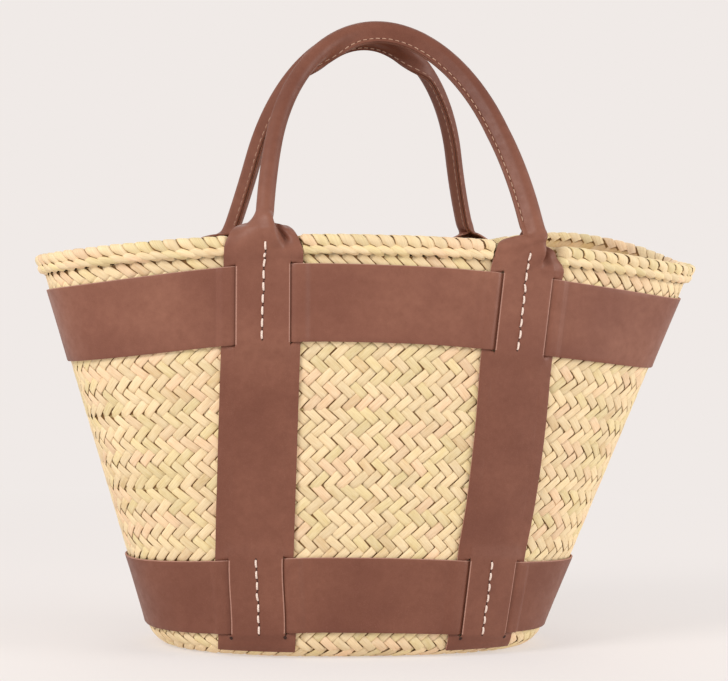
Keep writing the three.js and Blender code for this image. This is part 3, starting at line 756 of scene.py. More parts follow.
def run_point(share, run, outward):
    """A point on the outside: run is the level, but below the floor's corner it goes on round the corner
    and in under the floor."""
    angle = np.clip((CORNER_RADIUS - run) / CORNER_RADIUS, 0, QUARTER)
    under = np.maximum(0, (CORNER_RADIUS - run) - CORNER_RADIUS * QUARTER)
    level = np.where(run >= CORNER_RADIUS, run, CORNER_RADIUS * (1 - np.sin(angle)))
    grown = -CORNER_RADIUS * (1 - np.cos(angle)) - under + outward * np.cos(angle)
    theta = theta_at(share, level)
    x, y = grown_plan(theta, level, grown)
    return np.stack(np.broadcast_arrays(x, y, risen(theta, level) - outward * np.sin(angle)), -1)


def ring_backing(rings, sides, outward):
    """A ring of faces behind the leaves, dark with painted shade, at levels or runs up the outside."""
    grid = run_point(np.arange(sides) / sides, rings[:, None], outward)
    return grid.reshape(-1, 3), grid_faces(sides, len(rings), True)


def inner_point(share, level, inward):
    """A point on the wall's inside."""
    level = np.clip(level, FLOOR_THICKNESS, WALL_TOP)
    return wall_point(theta_at(share, level), level, -WALL_THICKNESS - inward)


def plait_row(row, columns, level):
    """Middles and slopes of a herringbone row's leaves: even rows lean back, and odd rows forward."""
    back = row % 2 == 0
    along = (columns + (-ROW_OFFSET if back else ROW_OFFSET)) * LEAF_PITCH
    slope = math.pi - LEAF_LEAN if back else LEAF_LEAN
    return np.stack([along, 0 * along + level], -1), 0 * along + slope


def woven_rows(random, rows, level, shape, surface):
    """Herringbone rows right round the bag, with as many leaves as fit at a level."""
    count = int(round(round_length(level) / LEAF_PITCH))
    whole = count * LEAF_PITCH
    laid = [plait_row(row, np.arange(count), WALL_FOOT + (row + 0.5) * ROW_PITCH) for row in rows]

    def round_surface(x, y, outward):
        return surface(x / whole, y, outward)

    return lay_leaves(random, laid, [count] * len(laid), shape, round_surface)


def with_inside_shade(leaves):
    """Laid leaves with painted shade: darker tints for the shadow inside the bag."""
    *mesh, tints = leaves
    return *mesh, tints * INSIDE_SHADE


def woven_course(course):
    """One turn of the wall's strip: leaves outside and inside, and two dark layers of painted shade between
    them.
    """
    random = np.random.default_rng(COURSE_SEED + course)
    first = sum(COURSE_ROWS[:course])
    rows = range(first, first + COURSE_ROWS[course])
    low = WALL_FOOT + first * ROW_PITCH
    high = low + COURSE_ROWS[course] * ROW_PITCH
    outside = woven_rows(random, rows, (low + high) / 2, FINE_LEAF, run_point)
    inside = woven_rows(random, rows, (low + high) / 2, PLAIN_LEAF, inner_point)
    levels = np.linspace(low, min(high, WALL_TOP), COURSE_BACKING_RINGS)
    shade_backing = [ring_backing(levels, COURSE_BACKING_SIDES, -depth) for depth in COURSE_BACKING]
    made = leaf_piece(f"woven_course_{course + 1}", [outside, with_inside_shade(inside)], shade_backing)
    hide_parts(f"wall_course_{course + 1}")


# Leather: thick sheets, bands, and one strip for each face that is strap, handle and strap again

# Bands: the steps between their points, the climb over a strap's margin and down again, and how free they
# stand off the wall between the straps
BAND_WINDOW = 40
BAND_FINE_STEP = 1.0
BAND_STEP = 5.0
BAND_CLIMB = 6.2
BAND_CLIMB_LEAD = 0.6
BAND_FALL = 6.0
BAND_FALL_START = 0.2
BAND_LINE = 0.45
BAND_ROWS = 9
BAND_ROW_MARGIN = 4
BAND_FREE = 36
BAND_FREE_SPAN = 12
BAND_CURL = 0.25
BAND_LOWEST = -0.2

# The bands' slow waves: height, how fast they go round and up, and where they start
BAND_WAVES = ((0.16, 0.043, 0.05, 0), (0.1, 0.11, -0.09, 1))
SHARP_ANGLE = math.radians(50)


def leather_point(theta, level, offset):
    """A point over the wall, with the bands and the straps' slits arching up over each face's middle."""
    away = (np.abs(wrap_degrees(theta)) - BAND_ARCH_ANGLE) / BAND_ARCH_SPREAD
    share = np.interp(level, ARCH_LEVELS, ARCH_SHARES)
    return wall_point(theta, level + BAND_ARCH * share * np.exp(-(away**2)), offset)


def thick_sheet(name, grid, half_thickness, keep, pale, dark_edge, facing=1):
    """A sheet of leather round a grid of points on its middle surface. Cells that keep leaves out are cut
    away, and the cut edges get their own walls and material. Cells in pale show the raw edge's paler colour
    on the outer face, with a painted highlight of the edge catching the light, and the cut edges of cells in
    dark_edge are as brown as the face."""
    rows, columns = grid.shape[:2]
    normal = unit(np.cross(np.gradient(grid, axis=1), np.gradient(grid, axis=0))) * facing
    lift = normal * np.broadcast_to(half_thickness, (rows, columns))[..., None]
    points = np.concatenate([(grid + lift).reshape(-1, 3), (grid - lift).reshape(-1, 3)])
    under = rows * columns
    row, column = np.nonzero(keep)
    corner = row * columns + column
    outer = np.stack([corner, corner + 1, corner + columns + 1, corner + columns], -1)
    faces = [outer, outer[:, ::-1] + under]
    slots = [np.where(pale[row, column], 2, 0), np.ones(len(outer), int)]
    padded = np.pad(keep, 1)
    sides = [((-1, 0), (0, 1)), ((0, 1), (1, 2)), ((1, 0), (2, 3)), ((0, -1), (3, 0))]
    for (down, over), (first, second) in sides:
        open_side = ~padded[row + 1 + down, column + 1 + over]
        start, end = outer[open_side][:, first], outer[open_side][:, second]
        faces.append(np.stack([start, start + under, end + under, end], -1))
        slots.append(np.where(dark_edge[row, column][open_side], 0, 2))
    faces = np.concatenate(faces)
    if facing < 0:
        faces = faces[:, ::-1]
    used = np.zeros(len(points), bool)
    used[faces.ravel()] = True
    faces = (np.cumsum(used) - 1)[faces].tolist()
    made = piece(name, points[used], faces, [HIDE, FLESH, CUT_EDGE], np.concatenate(slots))
    made.data.set_sharp_from_angle(angle=SHARP_ANGLE)
    return made


def edge_thickness(places, low, high):
    """Half thickness over a sheet's width: thinner in the last bit at each edge, so that edges are round."""
    inside = np.minimum(places - low, high - places) / EDGE_ROUNDING
    return LEATHER / 2 * np.clip(mix(EDGE_THINNED, 1, inside), EDGE_THINNED, 1)


def band_places(level):
    """Knots round the bag at a level: each strap with some wall beside it, and the stretches between."""
    whole = round_length(level)
    strap = strap_arc(level)
    left = strap_arc(level, SITES["front_left"]) + tongue_shift(level, SITES["front_left"])
    right = strap_arc(level, SITES["front_right"])
    middles = [right, whole / 2 - strap, whole / 2 + strap, whole - left]
    beside = [middle + way * BAND_WINDOW for middle in middles for way in (-1, 1)]
    return [0.0, *beside, whole], middles


def band_columns(reference, start):
    """Places round a band from its one end to the other, closer together at the straps."""
    columns = []
    for index, (first, second) in enumerate(zip(reference[:-1], reference[1:])):
        step = BAND_FINE_STEP if index % 2 else BAND_STEP
        columns.append(np.linspace(first, second, int(round((second - first) / step)) + 1)[:-1])
    columns = np.concatenate(columns)
    columns = np.sort(np.where(columns < start - 1e-6, columns + reference[-1], columns))
    columns[0] = start + BAND_END_GAP / 2
    return np.append(columns, start + reference[-1] - BAND_END_GAP / 2)


def band_piece(name, node, low, high):
    """A band: over the wall, up over the straps' margins and down again under their tongues."""
    middle = (low + high) / 2
    reference, middles = band_places(middle)
    columns = band_columns(reference, middles[2])
    round_place = columns % reference[-1]
    away = np.min([np.abs(round_place - strap) for strap in middles], axis=0)
    over_margin = ease((away - TONGUE_EDGE + BAND_CLIMB_LEAD) / BAND_CLIMB)
    beyond = ease((away - STRAP_WIDTH / 2 - BAND_FALL_START) / BAND_FALL)
    layer = mix(LOW_LAYER, HIGH_LAYER, over_margin * (1 - beyond))
    free = ease((away - BAND_FREE) / BAND_FREE_SPAN)
    inner = np.linspace(low + BAND_ROW_MARGIN, high - BAND_ROW_MARGIN, BAND_ROWS)
    levels = np.concatenate([[low, low + EDGE_ROUNDING], inner, [high - BAND_LINE, high]])
    grid = []
    for level in levels:
        knots, _ = band_places(level)
        place = np.interp(round_place, reference, knots)
        theta = theta_at(place / knots[-1], level)
        swell = sum(
            high_by * np.sin(columns * round_rate + level * up_rate + phase)
            for high_by, round_rate, up_rate, phase in BAND_WAVES
        )
        curl = BAND_CURL * free * ((level - middle) / (high - low) * 2) ** 6
        lift = np.maximum(swell * free, BAND_LOWEST) + curl
        grid.append(leather_point(theta, level, layer + LEATHER / 2 + lift))
    keep = np.ones((len(levels) - 1, len(columns) - 1), bool)
    pale, dark_edge = np.zeros_like(keep), np.zeros_like(keep)
    # The top row's outer face: the cut edge's paler colour, and a painted highlight of the edge catching the
    # light
    pale[-1] = True
    dark_edge[0] = True
    thickness = edge_thickness(levels, low, high)[:, None]
    made = thick_sheet(name, np.array(grid), thickness, keep, pale, dark_edge)
    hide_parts(node)
    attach(made, "basket")


# One strip for each face


def handle_shape(face):
    """The plane that a handle stands in, as in the solids."""
    feet = [site_point((face, side), BASKET_HEIGHT, HINGE_LAYER) + HINGE_RISE * UPWARDS for side in (-1, 1)]
    hinge = unit(feet[1] - feet[0])
    middle = (feet[0] + feet[1]) / 2
    inward = np.array([0.0, -face, 0.0])
    upright = np.array([-hinge[2], 0, hinge[0]])
    reach = abs(middle[1]) - TUBE_RADIUS - HANDLE_PARTING / 2
    height = (HANDLE_TOP[face] - TUBE_RADIUS - middle[2]) / upright[2]
    rise = math.sqrt(reach**2 + height**2 - MID_RADIUS**2)
    lean = math.atan2(reach, height) - math.atan2(MID_RADIUS, rise)
    back = inward * math.cos(lean) - upright * math.sin(lean)
    return {
        "face": face,
        "middle": middle,
        "hinge": hinge,
        "inward": inward,
        "up": upright * math.cos(lean) + inward * math.sin(lean),
        "back": back,
        "foot_middle": middle + back * MID_RADIUS,
        "rise": rise,
        "foot_half": np.linalg.norm(feet[1] - feet[0]) / 2,
    }


def site_point(site, level, offset):
    return wall_point(site_theta(site, 0, level), level, offset)


def leg_sway(face, leg, height):
    """How far a leg stands out sideways, growing from the tab up and fading again up the leg."""
    grown = ease((height - SWAY_START) / SWAY_SPAN)
    return LEG_SWAY.get((face, leg), 0) * grown * np.clip(1 - height / SWAY_END, 0, 1)


def handle_route(shape, shoulder_heights, tube_step):
    """Places of the strip's middle line in the handle's plane, as (x, height): up the left leg, over the
    arch and down the right leg. The shoulders have rows at the given heights."""
    face = shape["face"]
    half_width, shift = HANDLE_HALF_WIDTH[face], HANDLE_SHIFT[face]
    arch = shape["rise"] - ARCH_START

    def place(turn):
        past = np.maximum(0, np.maximum(-turn, turn - math.pi))
        height = ARCH_START + arch * np.where(past > 0, -past, np.sin(turn))
        side = np.where(turn < QUARTER, -1, 1)
        fade = np.clip(1 - height / FLARE_HEIGHT, 0, 1)
        flare = (shape["foot_half"] - half_width - side * shift) * fade**FLARE_POWER
        width = half_width * np.where(past > 0, 1, np.abs(np.cos(turn)))
        sway = np.where(turn < QUARTER, leg_sway(face, -1, height), leg_sway(face, 1, height))
        return shift + side * (width + flare + sway), height

    low = (np.asarray(shoulder_heights, float) - ARCH_START) / arch
    shoulders = np.where(low < 0, low, np.arcsin(np.clip(low, 0, 1)))
    fine = np.linspace(shoulders[-1], math.pi - shoulders[-1], ROUTE_STEPS)
    x, height = place(fine)
    length = np.concatenate([[0], np.cumsum(np.hypot(np.diff(x), np.diff(height)))])
    count = int(length[-1] / tube_step)
    middle_turns = np.interp(np.linspace(0, length[-1], count + 1)[1:-1], length, fine)
    turns = np.concatenate([shoulders, middle_turns, (math.pi - shoulders)[::-1]])
    x, height = place(turns)
    ahead, behind = (np.stack(place(turns + way * HEADING_STEP), -1) for way in (1, -1))
    heading = unit(ahead - behind)
    return turns < QUARTER, x, height, heading


def twist_at(face, leg, height):
    """The seam's turn round the handle in radians."""
    start, span = SEAM_TWIST[(face, leg)]
    return QUARTER * ease((height - start) / span)


def handle_frames(shape, shoulder_heights, step):
    """The strip's middle line over a handle as if its seam stayed behind, with its directions across and
    deep, the seam's turn, and how far the shoulder has become a tube."""
    face = shape["face"]
    left, x, height, heading = handle_route(shape, shoulder_heights, step)
    hollow = shape["hinge"] * heading[:, 1:] - shape["up"] * heading[:, :1]
    twist = np.where(left, twist_at(face, -1, height), twist_at(face, 1, height))[:, None]
    middle = shape["foot_middle"] + shape["hinge"] * x[:, None] + shape["up"] * height[:, None]
    rolled = ease(height / SHOULDER_HEIGHT)[:, None]
    deep = unit(mix(shape["inward"], shape["back"], rolled))
    across = unit(mix(shape["hinge"] * np.where(left, 1, -1)[:, None], hollow, rolled))
    return height, left, middle - shape["back"] * MID_RADIUS, across, deep, twist, rolled


def beyond_core(out):
    """0 in the middle of a flat strip and 1 towards its edges."""
    return ease((np.abs(out) - CORE_WIDTH) / CORE_FADE)


def turned_section(out, depth, twist, rolled):
    """A section of the strip turned about the middle of the tube. Where the strip is still flat only its
    middle turns."""
    turn = twist * (1 - (1 - rolled) * beyond_core(out))
    from_axis = depth - MID_RADIUS
    turned_out = out * np.cos(turn) + from_axis * np.sin(turn)
    return turned_out, MID_RADIUS + from_axis * np.cos(turn) - out * np.sin(turn)


def strip_section(stage, widths):
    """Across and depth for places over the strip's width. A stage of 0 is flat, and 1 is a closed tube."""
    body = STRAP_WIDTH / 2 - SEAM_FLANGE
    roll = np.maximum(SEAM_CLOSED * stage, LEAST_ROLL)
    radius = mix(body, SEAM_CLOSED * MID_RADIUS, stage) / roll
    turn = np.minimum(np.abs(widths), body) / body * roll
    past = np.maximum(0, np.abs(widths) - body)
    out = radius * np.sin(turn) + past * np.cos(QUARTER * stage)
    deep = radius * (1 - np.cos(turn)) + past * np.sin(QUARTER * stage)
    # where the tube has closed, its sides run straight from TAPER_TURN to the seam
    taper = ease((stage - TAPER_START) / (1 - TAPER_START)) * (turn > TAPER_TURN)
    share = (turn - TAPER_TURN) / (SEAM_CLOSED - TAPER_TURN)
    start_out, root_out = MID_RADIUS * math.sin(TAPER_TURN), MID_RADIUS * math.sin(SEAM_CLOSED)
    start_deep = MID_RADIUS * (1 - math.cos(TAPER_TURN))
    root_deep = start_deep - (start_out - root_out) * math.tan(TAPER_TURN)
    lip = MID_RADIUS * (1 - math.cos(SEAM_CLOSED)) + SEAM_FLANGE - root_deep
    out = mix(out, mix(start_out, root_out, share), taper)
    deep = mix(deep, mix(start_deep, root_deep, share) + past / SEAM_FLANGE * lip, taper)
    return np.sign(widths) * out, deep


def shoulder_section(site, rise, widths, twist, rolled):
    """A shoulder's section at some heights, its two sides rolled up by their own stages."""
    stages = {}
    for side in ("left", "right"):
        levels, rolled_up = zip(*TABS[site][side])
        stages[side] = np.interp(rise, levels, rolled_up)
    stage = np.where(widths * -site[1] > 0, stages["right"], stages["left"])
    return turned_section(*strip_section(stage, widths), twist, rolled)


def tab_relief(site, rise, out):
    """The pinched fold beside the tube on a tab's right: a swell up to a ridge, and a pocket behind it."""
    foot, top = TABS[site]["fold"]
    past_ridge = out * -site[1] - np.interp(rise, [foot, top], TABS[site]["ridge"])
    tall = within(rise, foot, FOLD_RISE, top + FOLD_OVERRUN, FOLD_FALL)
    pocket = POCKET_DEPTH[site[0]] * within(past_ridge, *POCKET_FLANKS)
    return tall * (pocket - RIDGE_HEIGHT * within(past_ridge, *RIDGE_FLANKS))


# Widths of the strip's columns from its middle to its right edge: the tongue, then the margin
TONGUE_COLUMNS = np.append(np.linspace(0, TONGUE_EDGE - EDGE_LINE, 19), TONGUE_EDGE)
MARGIN_COLUMNS = (MARGIN_EDGE, 22.1, 23.2, 24.4, 25.6, 26.8, 28.1, 29.4, STRAP_WIDTH / 2)
WIDTHS = mirrored([*TONGUE_COLUMNS, *MARGIN_COLUMNS])

# Levels of a strap's rows: evenly up the wall, and closer together at the bands' edges
LEVEL_STEP = 3.0
LEAST_STEP = 0.3
FOOT_ROW = 0.6
EDGE_LEVELS = np.array([-7, -5.5, -4, -SLIT_OVERRUN, -1.2, 0, 1.5, SLIT_OVERRUN, 3, 4, 5.5, 7])
SHOULDER_ROWS = np.arange(SHOULDER_LOW, HINGE_LEVEL, 1.0)
SHOULDER_HEIGHTS = np.concatenate([np.arange(0, 22, 1.0), np.arange(22, 34, 2.0)])


def strap_levels():
    """The levels of a strap's rows on the wall."""
    levels = [np.arange(STRAP_FOOT, SHOULDER_LOW, LEVEL_STEP), [STRAP_FOOT + FOOT_ROW]]
    for edge in (*BOTTOM_BAND, *TOP_BAND):
        levels.append(edge + EDGE_LEVELS)
    levels = np.unique(np.round(np.concatenate(levels), 2))
    levels = levels[(levels >= STRAP_FOOT) & (levels < SHOULDER_LOW)]
    return levels[np.concatenate([[True], np.diff(levels) > LEAST_STEP])]


LEVELS = strap_levels()
SLITS = [(low - SLIT_OVERRUN, high + SLIT_OVERRUN) for low, high in (BOTTOM_BAND, TOP_BAND)]


def slit_opening(level):
    """How far a strap's slits stand open at a level: 0 is shut, and 1 fully open."""
    return np.maximum(*(within(level, low, SLIT_OVERRUN, high, SLIT_OVERRUN) for low, high in SLITS))


def climbed(start, level):
    """From a height over the wall up to the rim's face, over the levels of CLIMB."""
    return mix(start, RIM_FACE, ease((level - CLIMB[0]) / (CLIMB[1] - CLIMB[0])))


def tongue_offset(level):
    """Height of the tongue over the wall: it climbs over each band, and from the top band over the rim."""
    over = np.zeros_like(level)
    for (low, high), rises, falls in TONGUE_CLIMBS:
        over = np.maximum(over, within(level, low - rises, rises, high + falls, falls))
    return np.where(level > TOP_BAND[1], climbed(HIGH_LAYER, level), mix(LOW_LAYER, HIGH_LAYER, over))


def margin_offset(level, widths):
    """Height of the two margins: down on the wall inside the slits, pressed into the weave beside the
    tongue, and beyond the slits falling from the tongue's height to the wall at the strap's edges."""
    aside = ease((np.abs(widths) - TONGUE_EDGE) / MARGIN_SLOPE)
    outside = mix(tongue_offset(level), climbed(LOW_LAYER, level), aside)
    dip = MARGIN_DIP * ease((MARGIN_DIP_EDGE - np.abs(widths)) / MARGIN_DIP_SPAN)
    return mix(outside, LOW_LAYER - dip, slit_opening(level))


def strap_rows(site):
    """Rows of a strap on the wall, from its foot up to below the rim."""
    level = LEVELS[:, None]
    width = np.broadcast_to(WIDTHS, (len(LEVELS), len(WIDTHS)))
    opening = np.maximum(slit_opening(level), SLIT_LEAST)
    for edge in (TONGUE_EDGE, MARGIN_EDGE):
        beside = np.isclose(np.abs(width), edge)
        width = np.where(beside, np.sign(width) * mix(SLIT_MIDDLE, edge, opening), width)
    past_tongue = (STRAP_WIDTH / 2 - np.abs(width)) / (STRAP_WIDTH / 2 - TONGUE_EDGE)
    aside = tongue_shift(level, site) * ease(past_tongue)
    on_tongue = np.abs(WIDTHS) <= TONGUE_EDGE + CLOSE
    offset = np.where(on_tongue, tongue_offset(level), margin_offset(level, WIDTHS))
    waver = LOOSE_WAVER * np.sin(level * WAVER_UP + site[1]) * np.cos(WIDTHS * WAVER_ROUND)
    slack = (LOOSE_LIFT + waver) * within(level, *LOOSE)
    return leather_point(site_theta(site, aside - width, level), level, offset + LEATHER / 2 + slack)


def tab_rows(shape, site):
    """Rows of a strap over the rim, from lying on the wall to standing in the handle's plane."""
    face, leg = site
    level = SHOULDER_ROWS[:, None]
    height = level - HINGE_LEVEL
    out, depth = shoulder_section(site, level, WIDTHS, twist_at(face, leg, height), 0)
    out = out - leg_sway(face, leg, height) * (1 - beyond_core(out))
    depth = depth * mix(SHOULDER_SQUEEZE, 1, ease((level - SQUEEZE_START) / SQUEEZE_SPAN))
    depth = depth + tab_relief(site, level, out)
    lead = SHOULDER_LEAD * np.clip(depth / LEAD_DEPTH, 0, 1)
    offset = margin_offset(level, WIDTHS) + LEATHER / 2 - depth
    on_wall = wall_point(site_theta(site, -out, level), level + lead, offset)
    centre = site_point(site, level, tongue_offset(level) + LEATHER / 2)
    plane = centre + shape["hinge"] * (out * -leg)[..., None] + shape["inward"] * depth[..., None]
    plane = plane + UPWARDS * lead[..., None]
    return mix(on_wall, plane, ease((level - PLANE_START) / (HINGE_LEVEL - PLANE_START))[..., None])


def strip_grid(shape):
    """The whole strip: strap, tab, handle, tab and strap."""
    face = shape["face"]
    height, left, front, across, deep, twist, rolled = handle_frames(shape, SHOULDER_HEIGHTS, TUBE_STEP)
    rise = (HINGE_LEVEL + height)[:, None]
    out, depth = np.zeros((2, len(height), len(WIDTHS)))
    for leg, rows in ((-1, left), (1, ~left)):
        site = (face, leg)
        out[rows], depth[rows] = shoulder_section(site, rise[rows], WIDTHS, twist[rows], rolled[rows])
        depth[rows] += tab_relief(site, rise[rows], out[rows])
    handle = front[:, None] + across[:, None] * out[..., None] + deep[:, None] * depth[..., None]
    parts = [np.concatenate([strap_rows((face, leg)), tab_rows(shape, (face, leg))]) for leg in (-1, 1)]
    grid = np.concatenate([parts[0], handle, parts[1][::-1]])
    low, high = len(LEVELS) - 2, len(parts[0]) + len(SHOULDER_HEIGHTS)
    smooth_rows(grid, low, high)
    smooth_rows(grid, len(grid) - high, len(grid) - low)
    return grid, len(parts[0])


def smooth_rows(grid, first, last):
    """Evens the sheet out along its length between two rows."""
    for _ in range(SHOULDER_SMOOTHING):
        beside = grid[first - 1 : last - 1] + grid[first + 1 : last + 1]
        grid[first:last] = 0.5 * grid[first:last] + 0.25 * beside


def mark_cells(cells, span, place):
    """Marks the cells of a strip between two levels at a place over its width, on both of its straps."""
    rows = np.nonzero((LEVELS[:-1] >= span[0] - CLOSE) & (LEVELS[1:] <= span[1] + CLOSE))[0]
    columns = np.nonzero(np.isclose(np.abs(WIDTHS[:-1] + WIDTHS[1:]) / 2, place))[0]
    for strap in (rows, len(cells) - 1 - rows):
        cells[np.ix_(strap, columns)] = True


def leather_strip(face, name, nodes):
    """A face's strip: its straps, tabs and handle as one sheet."""
    shape = handle_shape(face)
    grid, part_count = strip_grid(shape)
    slits, pale, dark_edge = np.zeros((3, len(grid) - 1, len(WIDTHS) - 1), bool)
    for slit in SLITS:
        mark_cells(slits, slit, SLIT_MIDDLE)
    # A thin line of each tongue's face beside its slits: the cut edge's paler colour, and a painted
    # highlight of the edge catching the light
    for band in (BOTTOM_BAND, TOP_BAND):
        mark_cells(pale, band, TONGUE_EDGE - EDGE_LINE / 2)
    dark_edge[part_count : len(grid) - part_count] = True
    thickness = edge_thickness(WIDTHS, -STRAP_WIDTH / 2, STRAP_WIDTH / 2)
    made = thick_sheet(name, grid, thickness, ~slits, pale, dark_edge, -face)
    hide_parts(*nodes)
    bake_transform(made)
    return shape


# Stitches

STITCH_STEPS = np.linspace(-1, 1, 9)
STITCH_SIDES = 8
STITCH_FLATNESS = 0.8
STITCH_NARROWING = 0.72
STITCH_PLUNGE = 0.9
HOLE_GROWTH = 1.05
HOLE_LIFT = 0.06
HOLE_MIDDLE_LIFT = 0.08
CAP_FANS = (1, 3, 5)


def wedges(start, sides):
    """Three-sided faces round a disc whose last point is its middle."""
    edge = start + np.arange(sides)
    return np.stack([np.full(sides, start + sides), edge, np.roll(edge, -1)], -1)


def stitch_meshes(starts, ends, outs, radius, rise):
    """Short bent threads from one needle hole to the next, and a small dark disc of painted shade for the
    hole at each end.
    """
    turns = np.linspace(0, TURN, STITCH_SIDES, endpoint=False)
    swell = radius * np.sqrt(1 - STITCH_NARROWING * STITCH_STEPS**4)
    lift = rise * (1 - STITCH_STEPS**2) - STITCH_PLUNGE * radius * STITCH_STEPS**6
    each = len(STITCH_STEPS) * STITCH_SIDES
    tube = grid_faces(STITCH_SIDES, len(STITCH_STEPS), True)
    low_cap = [[0, fan + 2, fan + 1, fan] for fan in CAP_FANS]
    high_cap = np.array([[0, fan, fan + 1, fan + 2] for fan in CAP_FANS]) + each - STITCH_SIDES
    thread = np.concatenate([tube, low_cap, high_cap])
    points, faces, hole_points, hole_faces = [], [], [], []
    for index, (start, end, out) in enumerate(zip(starts, ends, outs)):
        reach = (end - start) / 2
        across = unit(np.cross(reach, out))
        centres = (start + end) / 2 + reach * STITCH_STEPS[:, None] + out * lift[:, None]
        ring = across * np.cos(turns)[:, None] + out * STITCH_FLATNESS * np.sin(turns)[:, None]
        points.append((centres[:, None] + ring[None] * swell[:, None, None]).reshape(-1, 3))
        faces.append(thread + index * each)
        for hole in (start, end):
            ring = across * np.cos(turns)[:, None] + unit(reach) * np.sin(turns)[:, None]
            rim = hole + ring * radius * HOLE_GROWTH + out * HOLE_LIFT
            hole_faces.append(wedges(len(hole_points) * (STITCH_SIDES + 1), STITCH_SIDES))
            hole_points.append(np.concatenate([rim, [hole + out * HOLE_MIDDLE_LIFT]]))
    return [np.concatenate(group) for group in (points, faces, hole_points, hole_faces)]


def thread_piece(name, body, node, stitches, material):
    """A run of stitches with its needle holes, dark discs of painted shade, as one piece."""
    points, faces, hole_points, hole_faces = stitches
    all_faces = faces.tolist() + (hole_faces + len(points)).tolist()
    slots = [0] * len(faces) + [1] * len(hole_faces)
    made = piece(name, np.concatenate([points, hole_points]), all_faces, [material, HOLE_SHADE], slots)
    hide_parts(node)
    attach(made, body)


def with_punched_holes(stitches, site):
    """Adds the round holes that end a strap's two lowest slits, as dark discs of painted shade on the
    leather.
    """
    points, faces, hole_points, hole_faces = stitches
    turns = np.linspace(0, TURN, PUNCH_SIDES, endpoint=False)
    for side in (-1, 1):
        level = BOTTOM_BAND[0] - PUNCH_DROP + PUNCH_RADIUS * np.append(np.sin(turns), 0)
        width = side * SLIT_MIDDLE + PUNCH_RADIUS * np.append(np.cos(turns), 0)
        surface = margin_offset(level, width) + LEATHER + PUNCH_LIFT
        theta = site_theta(site, width + tongue_shift(level, site), level)
        hole_faces = np.concatenate([hole_faces, wedges(len(hole_points), PUNCH_SIDES)])
        hole_points = np.concatenate([hole_points, leather_point(theta, level, surface)])
    return points, faces, hole_points, hole_faces


def strap_stitching(site_name, place, low, high, count):
    """One run of stitches down the middle of a tongue."""
    random = np.random.default_rng(STITCH_SEED + list(SITES).index(site_name) * 2 + (place == "top"))
    site = SITES[site_name]
    middle = STITCH_ASIDE[(place, site[1])] * site[1]
    holes = np.linspace(low, high, count + 1)
    gap = (high - low) / count * STITCH_GAP
    starts, ends, outs = [], [], []
    for first, second in zip(holes[:-1], holes[1:]):
        for level, points in ((first + gap, starts), (second - gap, ends)):
            theta = site_theta(site, middle + random.normal(0, STITCH_SCATTER), level)
            surface = tongue_offset(level) + LEATHER
            points.append(leather_point(theta, level, surface))
            out = unit(leather_point(theta, level, surface + 1) - points[-1])
        outs.append(out)
    stitches = stitch_meshes(starts, ends, outs, **STRAP_STITCH)
    if place == "bottom":
        stitches = with_punched_holes(stitches, site)
    name = f"{site_name}_{place}_stitches"
    thread_piece(name, "basket", f"{site_name}_{place}_stitching", stitches, THREAD)


def seam_stitching(shape, body):
    """Stitches along both faces of a handle's seam."""
    random = np.random.default_rng(SEAM_SEED + shape["face"])
    _, _, front, across, deep, twist, _ = handle_frames(shape, SEAM_ENDS, SEAM_PITCH / 2)
    middle = front + deep * MID_RADIUS
    turned_across = across * np.cos(twist) - deep * np.sin(twist)
    deep = deep * np.cos(twist) + across * np.sin(twist)
    depth = -MID_RADIUS * math.cos(SEAM_CLOSED) + SEAM_FLANGE * SEAM_THREAD_SHARE
    starts, ends, outs = [], [], []
    for direction in (-1, 1):
        line = middle + turned_across * (GAP / 2 + LEATHER) * direction + deep * depth
        for index in range(2, len(line) - 3, 2):
            first, second = line[index], line[index + 2]
            starts.append(mix(first, second, SEAM_GAP) + deep[index] * random.normal(0, SEAM_SCATTER))
            ends.append(mix(first, second, 1 - SEAM_GAP) + deep[index] * random.normal(0, SEAM_SCATTER))
            outs.append(unit(turned_across[index + 1] * direction))
    stitches = stitch_meshes(starts, ends, outs, **SEAM_STITCH)
    thread_piece(f"{body}_seam_stitches", body, f"{body}_seam_thread", stitches, SEAM_THREAD)


# Rim braid

# Its section as (outwards from the wall, level), up the outside, over the top and down the inside
RIM_SECTION = np.array([
    (0.0, 305.0), (1.0, 312.0), (3.3, 313.0), (4.2, 316.0), (3.8, 319.6), (4.3, 323.0), (3.5, 326.0),
    (0.8, 327.6), (-3.6, 327.6), (-6.3, 326.0), (-7.3, 323.0), (-6.9, 319.6), (-7.3, 316.0), (-6.5, 313.0),
    (-4.7, 311.5), (-4.7, 303.0),
])
RIM_STEPS = np.hypot(*np.diff(RIM_SECTION, axis=0).T)
RIM_LENGTHS = np.concatenate([[0], np.cumsum(RIM_STEPS)]) - RIM_STEPS[0]
RIM_WHOLE = RIM_LENGTHS[-2]
RIM_LEVEL = 321
RIM_ROUND = round_length(RIM_LEVEL)
RIM_NUDGE = 1.2
RIM_PITCH = 10.2
RIM_COUNT = int(round(RIM_ROUND / RIM_PITCH))
RIM_BACKING = 1.75
RIM_BACKING_RINGS = 22
RIM_BACKING_SIDES = 260

# Where a strap presses the rim down and in
RIM_DENT = 4
RIM_PRESS = 7.5
PRESS_SPAN = 5
PRESS_START = -8
PRESS_DEPTH = 12
DENT_START = 318
DENT_SPAN = 9

STRAND_SCATTER = 0.25
STRAND_TURN_SCATTER = 0.05
STRAND_SIZES = (0.93, 1.05)
STRAND_LIFTS = (-0.15, 0.12)
STRAND_STEPS = mirrored([0.2, 0.55, 0.85, 1])
TOP_STEPS = np.linspace(0, 1, 12)
LOW_STEPS = np.linspace(-1, 1, 11)
INNER_STEPS = np.linspace(-1, 1, 7)
STRAND_GRAIN = (4, 8)
PILLOW_EDGE = 0.72

